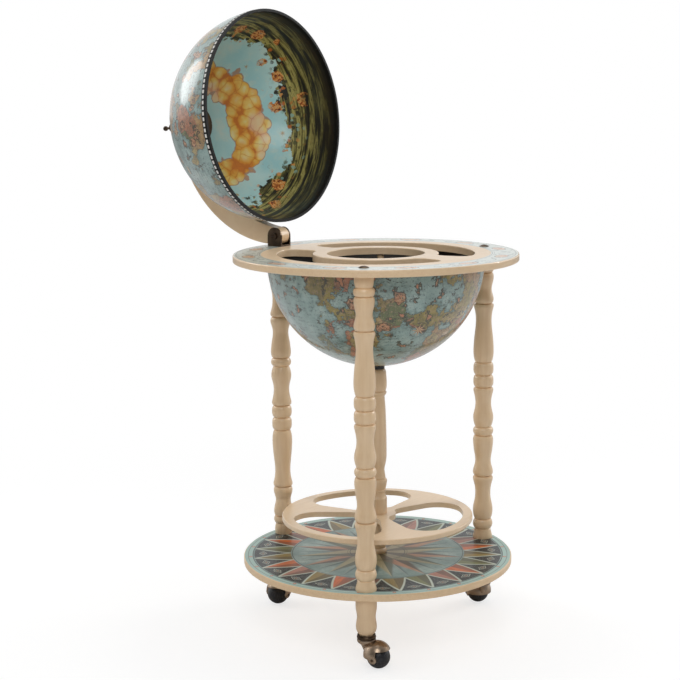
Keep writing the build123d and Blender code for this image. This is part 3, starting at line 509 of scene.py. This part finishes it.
def isles(g, base, point, seed):
    """Dark isles with a rosy middle."""
    height = g.noise(g.vector("ADD", point, (9.0, seed, 4.0)), 9.0, 6.0, 0.6)
    base = g.mix(g.smooth(height, 0.595, 0.61) * 0.9, base, colour(66, 72, 54))
    base = g.mix(g.smooth(height, 0.64, 0.67) * 0.9, base, colour(196, 132, 96))
    return g.mix(g.line(height - 0.61, 0.02) * 0.8, base, colour(48, 54, 48))


def vignettes(g, base, point, latitude, figures):
    """Small figures with dark outlines, in a band of latitude."""
    spot = g.wobble(point, 9.0, 0.14, 5.0)
    distance, chances, _ = g.cells(spot, figures["scale"])
    low, high = figures["band"]
    zone = g.both(g.smooth(latitude, low - 0.05, low + 0.05),
                  g.smooth(latitude, high + 0.05, high - 0.05),
                  g.smooth(chances[1], figures["share"], figures["share"] - 0.02))
    edge = distance - 0.17 - 0.2 * g.noise(point, 24.0, 4.0)
    blot = g.both(g.smooth(edge, 0.015, -0.015), zone)
    detail = g.noise(point, 40.0, 5.0, 0.72)
    figure = g.ramp(detail, [
        (0.34, colour(42, 42, 34)), (0.43, colour(96, 78, 46)), (0.5, colour(190, 124, 86)),
        (0.57, colour(206, 164, 126)), (0.66, colour(70, 76, 56)),
    ])
    base = g.mix(blot * 0.92, base, figure)
    return g.mix(g.both(g.line(edge, 0.05), zone) * 0.8, base, colour(46, 48, 38))


def compass_star(g, base, point, place):
    """A star in its circle, with rhumb lines that fade away from it."""
    u, v, front = tangent_place(g, point, *place)
    distance, angle = polar(g, u, v)
    ray = distance * g.math("SINE", folded(g, angle, RHUMB_LINES))
    beyond = g.smooth(distance, COMPASS_SIZE, COMPASS_SIZE + 0.002)
    fade = g.smooth(distance, RHUMB_REACH, 0.03)
    rhumb = g.both(g.line(ray, 0.0005), front, beyond, fade)
    base = g.mix(rhumb * 0.45, base, colour(84, 76, 62))
    inside, half = star(g, u, v, COMPASS_SIZE)
    tint = g.mix(half, colour(150, 80, 56), colour(206, 188, 146))
    base = g.mix(g.both(inside, front), base, tint)
    circle = g.both(g.line(distance - COMPASS_CIRCLE, 0.0008), front)
    return g.mix(circle * 0.8, base, colour(*INK))


def sailing_ship(g, base, point, longitude, latitude, size):
    """A small ship, brown below and pale in its sails."""
    u, v, front = tangent_place(g, point, longitude, latitude)
    hull, sail = ship(g, u, v, size)
    base = g.mix(g.both(sail, front), base, colour(196, 172, 136))
    return g.mix(g.both(hull, front) * 0.9, base, colour(62, 44, 34))


def graticule(g, base, longitude, latitude):
    """Thin lines of longitude and latitude."""
    across = folded(g, longitude, MERIDIANS) * g.math("COSINE", latitude)
    along = folded(g, latitude, MERIDIANS)
    grid = g.either(g.line(across, 0.002), g.line(along, 0.002))
    return g.mix(grid * 0.35, base, colour(84, 80, 64))


def printed_globe(name, centre, tilt, seed, stars, ships, figures):
    """Old-style chart of made-up lands on a grey-green sea, under gloss lacquer."""
    g = Graph(name)
    point = globe_point(g, centre, tilt)
    x, y, z = g.split(point)
    longitude = g.math("ARCTAN2", y, x)
    latitude = g.math("ARCSINE", z)
    shifted = g.vector("ADD", point, (seed, 1.7 * seed, 0.4))
    height = g.noise(shifted, 2.1, 10.0, 0.62)
    land = g.smooth(height, SHORE - 0.002, SHORE + 0.002)
    base = aged(g, colour(*SEA), point, 5.0, 0.7)
    base = coasts(g, base, height, land, latitude)
    base = g.mix(land, base, country(g, point, shifted))
    base = g.mix(g.line(height - SHORE, 0.006) * 0.85, base, colour(52, 46, 38))
    base = sea_marks(g, base, longitude, latitude, 1 - land * 0.7)
    base = isles(g, base, point, seed)
    base = vignettes(g, base, point, latitude, figures)
    for place in stars:
        base = compass_star(g, base, point, place)
    for place in ships:
        base = sailing_ship(g, base, point, *place)
    base = graticule(g, base, longitude, latitude)
    normal = g.bump(g.noise(point, 14.0, 2.0), 0.0004, 0.1)
    return g.finish(base, 0.45, coat=0.9, coat_roughness=0.16, normal=normal)


def cloud_wreath(g, base, point, turn, fall):
    """Broken wreath of clouds about the crown, in rounded puffs with darker outlines."""
    ragged = g.noise(g.join(g.math("SINE", turn), g.math("COSINE", turn), fall * 1.5), 2.6, 5.0)
    middle = fall - WREATH_FALL - g.math("SINE", turn * 2.0 + 0.9) * 0.07
    spread = 0.19 + g.math("SINE", turn * 3.0 + 2.0) * 0.03 + (ragged - 0.5) * 0.16
    rounded = g.wobble(point, 5.0, 0.09, 3.0)
    puffs = g.cells(rounded, PUFF_SCALE)[0]
    small = g.cells(rounded, 21.0)[0]
    body = spread - g.math("ABSOLUTE", middle) + (0.42 - puffs) * 0.11
    glow = g.smooth(puffs + small * 0.3, 0.15, 0.98)
    tint = g.ramp(glow, [
        (0.0, colour(252, 236, 170)), (0.4, colour(250, 214, 118)),
        (0.76, colour(246, 190, 84)), (0.94, colour(236, 158, 60)), (1.0, colour(218, 128, 48)),
    ])
    light = g.noise(point, 3.4, 2.0)
    tint = g.mix(g.smooth(light, 0.52, 0.66) * 0.6, tint, colour(246, 216, 190))
    tint = g.mix(g.smooth(light, 0.46, 0.3) * 0.4, tint, colour(236, 142, 44))
    folds = g.line(g.cells(rounded, PUFF_SCALE, "DISTANCE_TO_EDGE"), 0.05)
    tint = g.mix(folds * 0.4, tint, colour(206, 112, 44))
    base = g.mix(g.smooth(body, 0.0, 0.012), base, tint)
    return g.mix(g.line(body, 0.014) * 0.7, base, colour(186, 106, 44))


def gilt_stars(g, base, turn, fall):
    """Gilt stars between the clouds and the woods."""
    net = g.join(turn * 3.0, fall * 3.2)
    _, chance, middle = g.cells(net, 1.35, randomness=0.8, flat=True)
    u, v, _ = g.split(g.vector("SUBTRACT", net, middle))
    gilt, half = star(g, u, v, 0.12, 8, 0.32)
    belt = g.both(g.smooth(fall, 0.78, 0.8), g.smooth(fall, 1.0, 0.96),
                  g.smooth(chance[0], 0.45, 0.5))
    gold = g.mix(half, colour(150, 112, 58), colour(214, 182, 110))
    return g.mix(g.both(gilt, belt) * 0.85, base, gold)


def woods(g, base, edge, turn, fall):
    """Streaks of bark and branches that follow the rim, darker towards it."""
    strip = g.wobble(g.join(turn * 1.6, fall * 19.0), 0.8, 1.1, 3.0)
    streak = g.noise(strip, 1.0, 6.0, 0.68)
    bark = g.ramp(streak, [
        (0.37, colour(10, 10, 8)), (0.45, colour(44, 42, 24)), (0.51, colour(110, 104, 52)),
        (0.57, colour(196, 186, 108)), (0.63, colour(96, 84, 44)), (0.71, colour(16, 14, 11)),
    ])
    bark = g.mix(g.smooth(fall, 1.12, 1.46) * 0.75, bark, colour(16, 15, 12))
    return g.mix(g.smooth(edge, -0.008, 0.012), base, bark)


def leaves(g, base, point, edge):
    """Loose leaves along the inner edge of the woods."""
    fringe = g.both(g.smooth(edge, -0.09, -0.01), g.smooth(edge, 0.22, 0.06))
    distance, chance, _ = g.cells(g.wobble(point, 30.0, 0.03, 3.0), 21.0)
    leaf = g.both(fringe, g.smooth(distance, 0.5, 0.44), g.smooth(chance[0], 0.35, 0.4))
    tint = g.ramp(chance[1], [
        (0.0, colour(30, 34, 20)), (0.34, colour(84, 86, 44)), (0.55, colour(150, 190, 176)),
        (0.66, colour(196, 108, 36)), (0.84, colour(222, 154, 78)),
    ], hard=True)
    return g.mix(leaf * 0.9, base, tint)


def posies(g, base, point, edge):
    """Bunches of flowers on both sides of the woods' inner edge."""
    distance, chance, _ = g.cells(g.wobble(point, 12.0, 0.09, 4.0), 5.2)
    posy = g.both(g.smooth(distance, 0.4, 0.36), g.smooth(chance[0], 0.6, 0.63),
                  g.smooth(edge, -0.16, -0.08), g.smooth(edge, 0.3, 0.2))
    petals = g.noise(point, 34.0, 5.0, 0.74)
    tint = g.ramp(petals, [
        (0.36, colour(34, 26, 18)), (0.44, colour(150, 70, 30)), (0.5, colour(226, 140, 62)),
        (0.57, colour(240, 196, 120)), (0.64, colour(150, 104, 92)), (0.72, colour(62, 66, 38)),
    ])
    return g.mix(posy, base, tint)


def painted_sky(name, centre, tilt):
    """Inside of the lid: a sky with clouds and stars, ringed by dark woods."""
    g = Graph(name)
    point = globe_point(g, centre, tilt)
    x, y, z = g.split(point)
    turn = g.math("ARCTAN2", y, x)
    fall = g.math("ARCCOSINE", z)          # down from the crown, in radians
    haze = g.noise(point, 2.2, 5.0)
    base = g.mix(g.smooth(haze, 0.35, 0.65), colour(172, 224, 228), colour(200, 236, 234))
    wisps = g.noise(g.wobble(point, 5.0, 0.2, 4.0), 9.0, 6.0, 0.62)
    base = g.mix(g.smooth(wisps, 0.5, 0.72) * 0.5, base, colour(222, 234, 222))
    base = cloud_wreath(g, base, point, turn, fall)
    base = gilt_stars(g, base, turn, fall)
    ragged = g.noise(point, 4.5, 8.0, 0.68)
    edge = fall - WOODS_FALL - (ragged - 0.5) * 0.62 - g.math("SINE", turn * 5.0) * 0.04
    base = woods(g, base, edge, turn, fall)
    base = leaves(g, base, point, edge)
    base = posies(g, base, point, edge)
    base = g.mix(g.smooth(fall, 1.44, 1.5), base, colour(16, 15, 13))
    return g.finish(base, 0.5, coat=0.35, coat_roughness=0.14, specular=0.3)


def rim_edging(name, centre, tilt):
    """Black edging with a line of white dashes on its outside."""
    g = Graph(name)
    offset = globe_offset(g, centre, tilt)
    x, y, z = g.split(offset)
    angle = polar(g, x, y)[1]
    step = 2 * pi / DASH_COUNT
    dash = g.smooth(folded(g, angle, DASH_COUNT), step * 0.34, step * 0.31)
    band = g.line(z - DASH_HEIGHT, DASH_WIDTH, 0.0003)
    outside = g.math("GREATER_THAN", g.vector("LENGTH", offset), GLOBE_RADIUS)
    base = g.mix(g.both(dash, band, outside), colour(8, 8, 8), colour(236, 234, 228))
    return g.finish(base, 0.6, specular=0.25)


def printed_top(g, base, print_radius, top):
    """The print where the board faces up inside its rounded edge, bare wood elsewhere."""
    x, y, z = g.split(g.place)
    radius = polar(g, x, y)[0]
    printed = g.both(g.smooth(z, top - 0.0004, top - 0.0002),
                     g.smooth(radius, print_radius + 0.0003, print_radius - 0.0003))
    return g.mix(printed, wood_base(g, BOARD_EDGE_GRAIN), base)


def scrolls(g, base, radius, angle):
    """A waving stem with curled leaves and buds."""
    wave = SCROLL_RADIUS + SCROLL_SWING * g.math("SINE", angle * SCROLL_WAVES)
    base = g.mix(g.line(radius - wave, 0.002) * 0.7, base, colour(70, 92, 96))
    swirl = g.wobble(g.place, 55.0, 0.012, 3.0)
    curls, chance, _ = g.cells(swirl, 62.0)
    band = g.smooth(g.math("ABSOLUTE", radius - SCROLL_RADIUS), 0.0165, 0.015)
    leaf = g.both(g.line(curls - 0.33, 0.15), band, g.smooth(chance[0], 0.25, 0.3))
    base = g.mix(leaf * 0.6, base, colour(84, 112, 110))
    buds = g.both(g.smooth(curls, 0.16, 0.12), band, g.smooth(chance[1], 0.5, 0.55))
    return g.mix(buds * 0.8, base, colour(150, 96, 92))


def cartouches(g, base, radius, angle):
    """Oval pictures in dark frames, set round the band of scrolls."""
    side = folded(g, angle + CARTOUCHE_OFFSET, CARTOUCHE_COUNT) * SCROLL_RADIUS
    half_length, half_height = CARTOUCHE_HALF_SIZE
    du, dv = side / half_length, (radius - SCROLL_RADIUS) / half_height
    oval = g.math("SQRT", du * du + dv * dv)
    tone = g.noise(g.place, 130.0, 5.0, 0.7)
    tint = g.ramp(tone, [
        (0.38, colour(92, 74, 60)), (0.46, colour(206, 142, 104)),
        (0.54, colour(230, 196, 160)), (0.62, colour(140, 146, 120)), (0.7, colour(70, 68, 68)),
    ])
    base = g.mix(g.smooth(oval, 1.0, 0.94), base, tint)
    return g.mix(g.line(oval - 1.0, 0.11) * 0.85, base, colour(44, 50, 60))


def horizon_print(name):
    """Ring's top: scrolls, cartouches and graduations on the sea's colour."""
    g = Graph(name)
    x, y, _ = g.split(g.place)
    radius, angle = polar(g, x, y)
    base = aged(g, colour(208, 218, 210), g.place, 30.0, 0.2)
    base = scrolls(g, base, radius, angle)
    base = cartouches(g, base, radius, angle)
    for place, width in RING_LINES:
        base = g.mix(g.line(radius - place, width) * 0.8, base, colour(58, 62, 66))
    tick = g.both(g.line(folded(g, angle, GRADUATIONS) * radius, 0.0008),
                  g.smooth(radius, TICKS_FROM, TICKS_FROM + 0.0005),
                  g.smooth(radius, TICKS_TO, TICKS_TO - 0.0005))
    base = g.mix(tick * 0.8, base, colour(58, 60, 60))
    base = printed_top(g, base, RING_PRINT_RADIUS, RING_TOP)
    return g.finish(base, 0.38, coat=0.55, coat_roughness=0.13)


def dark_triangles(g, radius, side):
    """Near-black ground between the rays, with a lozenge on fine lace in each gap."""
    half_length, half_height = LOZENGE_HALF_SIZE
    across = (1 - side) * (pi / RAY_COUNT) * LOZENGE_RADIUS / half_length
    along = (radius - LOZENGE_RADIUS) / half_height
    lozenge = g.math("ABSOLUTE", across) + g.math("ABSOLUTE", along)
    lace = g.noise(g.place, 150.0, 3.0, 0.6)
    curl = g.smooth(g.math("ABSOLUTE", lace - 0.5), 0.03, 0.012)
    dark = g.mix(curl * 0.45, colour(14, 17, 20), colour(120, 132, 128))
    dark = g.mix(g.smooth(lozenge, 1.1, 1.0), dark, colour(12, 15, 17))
    rings = g.either(g.line(lozenge - 0.92, 0.16), g.line(lozenge - 0.46, 0.12))
    dark = g.mix(rings * 0.9, dark, colour(190, 194, 180))
    return g.mix(g.smooth(lozenge, 0.22, 0.16), dark, colour(186, 128, 92))


def coloured_rays(g, angle, streaks):
    """Rays in four colours by turns, with one side shaded."""
    number = g.math("FLOOR", ray_number(g, angle, RAY_COUNT))
    lit = g.ramp(g.math("FRACT", number * 0.3819), [
        (0.0, colour(206, 104, 48)), (0.26, colour(112, 116, 72)), (0.5, colour(176, 122, 104)),
        (0.74, colour(142, 122, 66)),
    ], hard=True)
    shaded = g.mix(0.55, lit, colour(52, 44, 36))
    rays = g.mix(ray_side(g, angle, RAY_COUNT), lit, shaded)
    return g.mix(g.smooth(streaks, 0.45, 0.7) * 0.4, rays, colour(64, 56, 44))


def outer_band(g, base, radius, angle, streaks):
    """Coloured rays that narrow outwards, with dark triangles between them."""
    share = g.math("DIVIDE", radius - RAY_INNER, RAY_OUTER - RAY_INNER, clamp=True)
    side = folded(g, angle, RAY_COUNT) / (pi / RAY_COUNT)
    slant = side - (1 - share)
    band = g.both(g.smooth(radius, RAY_INNER - 0.0005, RAY_INNER + 0.0005),
                  g.smooth(radius, RAY_OUTER + 0.0005, RAY_OUTER - 0.0005))
    pattern = g.mix(g.smooth(slant, 0.02, -0.02), dark_triangles(g, radius, side),
                    coloured_rays(g, angle, streaks))
    pattern = g.mix(g.line(slant * 0.014, 0.0018), pattern, colour(190, 198, 184))
    return g.mix(band, base, pattern)


def inner_rose(g, base, radius, angle, streaks):
    """Rose of winds: eight long points over eight more, over sixteen short ones."""
    for size, points, offset, lit, dark in ROSE_LAYERS:
        turned = angle + offset
        u, v = radius * g.math("COSINE", turned), radius * g.math("SINE", turned)
        inside, half = star(g, u, v, size, points, 0.36)
        tint = g.mix(half, colour(*lit), colour(*dark))
        tint = g.mix(g.smooth(streaks, 0.45, 0.7) * 0.3, tint, colour(60, 58, 50))
        base = g.mix(inside * 0.85, base, tint)
    return base


def border_blooms(g, base, radius, angle):
    """Small blooms with a pale middle, round the border."""
    across = folded(g, angle + BLOOM_OFFSET, RAY_COUNT) * radius
    along = radius - BLOOM_RADIUS
    bloom = g.math("SQRT", across * across + along * along)
    base = g.mix(g.smooth(bloom, 0.0034, 0.0028) * 0.85, base, colour(190, 112, 92))
    return g.mix(g.smooth(bloom, 0.0012, 0.0008), base, colour(226, 206, 160))


def shelf_print(name):
    """Shelf's top: a rose of winds on the sea's colour."""
    g = Graph(name)
    x, y, _ = g.split(g.place)
    radius, angle = polar(g, x, y)
    streaks = g.noise(g.join(angle * 40.0, radius * 30.0), 1.0, 4.0, 0.6)
    base = aged(g, colour(132, 154, 150), g.place, 16.0, 0.8)
    border = g.smooth(radius, BORDER_RADIUS, BORDER_RADIUS + 0.001)
    base = g.mix(border, base, colour(168, 196, 188))
    base = outer_band(g, base, radius, angle, streaks)
    base = inner_rose(g, base, radius, angle, streaks)
    for place, width in SHELF_LINES:
        base = g.mix(g.line(radius - place, width) * 0.85, base, colour(44, 48, 48))
    base = border_blooms(g, base, radius, angle)
    base = printed_top(g, base, SHELF_PRINT_RADIUS, SHELF_TOP)
    return g.finish(base, 0.42, coat=0.12, coat_roughness=0.08, specular=0.3)


# --- Made meshes -----------------------------------------------------------------------


def lathe(name, profile, steps):
    """Closed solid turned about Z from a loop of (radius, height) points."""
    verts, faces = [], []
    count = len(profile)
    for step in range(steps):
        angle = 2 * pi * step / steps
        verts += [(r * cos(angle), r * sin(angle), h) for r, h in profile]
    for step in range(steps):
        here, there = step * count, (step + 1) % steps * count
        for k in range(count):
            after = (k + 1) % count
            faces.append((here + k, there + k, there + after, here + after))
    mesh = bpy.data.meshes.new(name)
    mesh.from_pydata(verts, [], faces)
    mesh.validate()
    made = bmesh.new()
    made.from_mesh(mesh)
    bmesh.ops.recalc_face_normals(made, faces=made.faces)
    made.to_mesh(mesh)
    made.free()
    mesh.shade_smooth()
    piece = bpy.data.objects.new(name, mesh)
    bpy.context.scene.collection.objects.link(piece)
    return piece


def arc(radius, start, end, count):
    """Points (radius, height) of a meridian, between two elevations in radians."""
    angles = [start + (end - start) * k / count for k in range(count + 1)]
    return [(radius * cos(a), radius * sin(a)) for a in angles]


SPIN_STEPS = 288
MERIDIAN_STEPS = 72
SHARP_FROM = radians(40)
BOWL_LOW_EDGE = radians(-88.7)         # leaves a hole for the rod
LID_HIGH_EDGE = radians(89.1)          # leaves a hole for the finial's shank


def globe_half(name, centre, low_edge, high_edge, place=Matrix.Identity(4)):
    """Part of the hollow globe between two elevations, first made closed and then placed."""
    profile = arc(GLOBE_RADIUS, low_edge, high_edge, MERIDIAN_STEPS)
    profile += arc(INNER_RADIUS, high_edge, low_edge, MERIDIAN_STEPS)
    piece = lathe(name, profile, SPIN_STEPS)
    piece.data.transform(place @ Matrix.Translation(centre))
    middle = place @ centre
    between = (GLOBE_RADIUS + INNER_RADIUS) / 2
    for face in piece.data.polygons:
        face.material_index = 0 if (face.center - middle).length > between else 1
    piece.data.set_sharp_from_angle(angle=SHARP_FROM)
    return piece


bowl_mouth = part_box("bowl_shell")[1].z - BOWL_CENTRE.z
bowl = globe_half("bowl_globe", BOWL_CENTRE, BOWL_LOW_EDGE, bowl_mouth / GLOBE_RADIUS)
bowl.data.materials.append(printed_globe(
    "bowl_chart", BOWL_CENTRE, 0.0, 3.1,
    stars=[(-118, -34), (20, -30)],
    ships=[(-150, -22, 0.012), (-92, -40, 0.010)],
    figures={"scale": 5.2, "band": (-1.2, -0.05), "share": 0.3}))
# Inside of the bowl in near-black: painted shade for the dark seen down its openings
bowl.data.materials.append(dark_board("bowl_inside_painted_shade"))
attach(bowl, "stand")
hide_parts("bowl_shell")

lid = globe_half("lid_globe", LID_CENTRE, 0.0, LID_HIGH_EDGE, OPEN_LID)
lid.data.materials.append(printed_globe(
    "lid_chart", OPEN_CENTRE, LID_TILT, 7.3,
    stars=[(175, 30)],
    ships=[(-160, 40, 0.012), (150, 28, 0.010)],
    figures={"scale": 6.5, "band": (0.15, 0.95), "share": 0.42}))
lid.data.materials.append(painted_sky("lid_fresco", OPEN_CENTRE, LID_TILT))
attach(lid, "lid")
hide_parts("lid_shell")

# --- Materials on the CAD nodes --------------------------------------------------------

upright_wood = pale_wood("turned_wood", (150.0, 150.0, 9.0))
# Paler wood for the boards: painted light from above
top_lit_board_wood = pale_wood("board_wood_painted_top_light", (30.0, 210.0, 210.0), BOARD_TOP_LIT_LIGHT, BOARD_TOP_LIT_DEEP)
arm_wood = pale_wood("arm_wood", (150.0, 26.0, 26.0))
dark_bronze = bronze("antique_bronze", BRONZE_DARK, BRONZE_LIGHT)
# Paler bronze for the castor hoods: painted sheen for their highlights
painted_sheen_bronze = bronze("painted_sheen_bronze", HOOD_SHEEN_DARK, HOOD_SHEEN_LIGHT)
plated = zinc("zinc_plate")
black = black_plastic("black_nylon")
# Tray and bottle floor in near-black: painted shade deep inside the bowl
painted_shade_black = dark_board("black_board_painted_shade")
looks = {
    "horizon_ring": horizon_print("horizon_print"),
    "shelf_plate": shelf_print("shelf_print"),
    "insert_plate": top_lit_board_wood,
    "bottle_holder": top_lit_board_wood,
    "meridian_arm": arm_wood,
    "glass_tray": painted_shade_black,
    "bottle_floor": painted_shade_black,
    "bowl_seat": black,
    "lid_rim_trim": rim_edging("dashed_edging", OPEN_CENTRE, LID_TILT),
    "tray_spacers": upright_wood,
    "center_post": upright_wood,
    "post_foot": upright_wood,
    "castor_hood_1": painted_sheen_bronze,
    "castor_hood_2": painted_sheen_bronze,
    "castor_hood_3": painted_sheen_bronze,
}
by_slot = {"pale_wood": upright_wood, "dark_bronze": dark_bronze, "plated_steel": plated,
           "black_ball": black, "dark_board": painted_shade_black}
slots = {row["node"]: row["material_slot"] for row in frame["record"]["subparts"]}
for node, piece in frame["nodes"].items():
    look = looks.get(node) or by_slot.get(slots[node])
    if look:
        piece.data.materials.clear()
        piece.data.materials.append(look)

# --- Camera ----------------------------------------------------------------------------

CAMERA_PLACE = Vector((-2.15841, -1.51842, 0.9458))
CAMERA_BEARING = radians(35.1)         # from the camera to the object, counted from +X
CAMERA_PAN = radians(-1.358)           # clockwise from that bearing to its view
CAMERA_PITCH = radians(9.595)          # downwards
CAMERA_ROLL = radians(-0.557)
SENSOR_WIDTH = 36.0                    # millimetres
FOCAL_SHARE = 1578.4 / 680             # focal length over the picture's width

scene = bpy.context.scene
camera_data = bpy.data.cameras.new("camera")
camera_data.sensor_width = SENSOR_WIDTH
camera_data.lens = SENSOR_WIDTH * FOCAL_SHARE
camera = bpy.data.objects.new("camera", camera_data)
bearing = CAMERA_BEARING - CAMERA_PAN
forward = Vector((cos(bearing) * cos(CAMERA_PITCH), sin(bearing) * cos(CAMERA_PITCH),
                  -sin(CAMERA_PITCH)))
level = Vector((sin(bearing), -cos(bearing), 0))
above = level.cross(forward)
right = level * cos(CAMERA_ROLL) + above * sin(CAMERA_ROLL)
up = above * cos(CAMERA_ROLL) - level * sin(CAMERA_ROLL)
axes = Matrix((right, up, -forward)).transposed().to_4x4()
camera.matrix_world = Matrix.Translation(CAMERA_PLACE) @ axes
scene.collection.objects.link(camera)
scene.camera = camera

# --- Lights ----------------------------------------------------------------------------

OBJECT_MIDDLE = Vector((0.0, 0.0, 0.55))


def area_light(name, place, size, power):
    """A round lamp aimed at the object's middle."""
    light = bpy.data.lights.new(name, "AREA")
    light.shape, light.size, light.energy = "DISK", size, power
    lamp = bpy.data.objects.new(name, light)
    lamp.location = place
    aim = OBJECT_MIDDLE - Vector(place)
    lamp.rotation_euler = aim.to_track_quat("-Z", "Y").to_euler()
    scene.collection.objects.link(lamp)


area_light("left", (-0.5, 2.5, 1.7), 1.2, 18.0)
area_light("right", (2.3, -1.2, 1.6), 1.2, 24.0)
area_light("front", (-1.5, -1.0, 1.75), 1.2, 16.0)
area_light("top", (0.2, 0.0, 3.2), 1.6, 12.0)

# --- World: white behind the object, and a dim room before it --------------------------

BEHIND, BEFORE = 0.55, 0.1             # strengths of the light from behind and before
MIRRORED = 1.0 / BEHIND                # makes the side behind white in reflections
ROOM_FROM, ROOM_TO = -0.5, 0.3         # cosines of direction between which they blend

world = bpy.data.worlds.new("studio")
scene.world = world
world.use_nodes = True
nodes, links = world.node_tree.nodes, world.node_tree.links


def world_node(kind, *values, **settings):
    """A node of the world, with numbers or sockets for its inputs in order."""
    made = nodes.new("ShaderNode" + kind)
    for key, value in settings.items():
        setattr(made, key, value)
    for socket, value in zip(made.inputs, values):
        if isinstance(value, bpy.types.NodeSocket):
            links.new(value, socket)
        else:
            socket.default_value = value
    return made


paths = world_node("LightPath").outputs
direction = world_node("TexCoord").outputs["Generated"]
ahead = (forward.x, forward.y, 0.0)
facing = world_node("VectorMath", direction, ahead, operation="DOT_PRODUCT").outputs["Value"]
room = world_node("MapRange", facing, ROOM_FROM, ROOM_TO, BEFORE, BEHIND).outputs[0]
seen = world_node("Math", paths["Is Glossy Ray"], paths["Is Transmission Ray"],
                  operation="MAXIMUM").outputs[0]
gain = world_node("Math", seen, MIRRORED - 1.0, 1.0, operation="MULTIPLY_ADD").outputs[0]
strength = world_node("Math", room, gain, operation="MULTIPLY").outputs[0]
direct = world_node("Math", strength, paths["Is Camera Ray"], operation="MAXIMUM").outputs[0]
links.new(direct, nodes["Background"].inputs["Strength"])
nodes["Background"].inputs["Color"].default_value = (1, 1, 1, 1)

# --- Floor -----------------------------------------------------------------------------

FLOOR_REACH = 30.0
FLOOR_GREY = (0.86, 0.86, 0.86, 1)     # as it lights the object
LIT_GREY = (0.35, 0.35, 0.35, 1)       # as the camera sees it, before its glow is added
GLOW = 0.72
WHITE_FROM, WHITE_BY = 0.5, 1.6        # metres from the axis


def pale_floor(name):
    """Grey floor. The camera sees a soft shadow near the object and plain white beyond."""
    g = Graph(name)
    x, y, _ = g.split(g.place)
    away = g.smooth(polar(g, x, y)[0], WHITE_FROM, WHITE_BY)
    camera_ray = g.node("LightPath").outputs["Is Camera Ray"]
    lit, seen_lit = g.node("BsdfDiffuse"), g.node("BsdfDiffuse")
    lit.inputs["Color"].default_value = FLOOR_GREY
    seen_lit.inputs["Color"].default_value = LIT_GREY
    glow, white = g.node("Emission"), g.node("Emission")
    glow.inputs["Strength"].default_value = GLOW
    near, seen_floor, choice = g.node("AddShader"), g.node("MixShader"), g.node("MixShader")
    for mixer, values in ((near, (seen_lit.outputs[0], glow.outputs[0])),
                          (seen_floor, (away, near.outputs[0], white.outputs[0])),
                          (choice, (camera_ray, lit.outputs[0], seen_floor.outputs[0]))):
        for socket, value in zip(mixer.inputs, values):
            g.put(socket, value)
    g.put(g.node("OutputMaterial").inputs[0], choice.outputs[0])
    return g.material


floor_mesh = bpy.data.meshes.new("floor")
corners = ((-1, -1), (1, -1), (1, 1), (-1, 1))
floor_mesh.from_pydata([(x * FLOOR_REACH, y * FLOOR_REACH, 0) for x, y in corners], [],
                       [(0, 1, 2, 3)])
floor_mesh.materials.append(pale_floor("pale_floor"))
floor = bpy.data.objects.new("floor", floor_mesh)
scene.collection.objects.link(floor)

scene.view_settings.view_transform = "Standard"
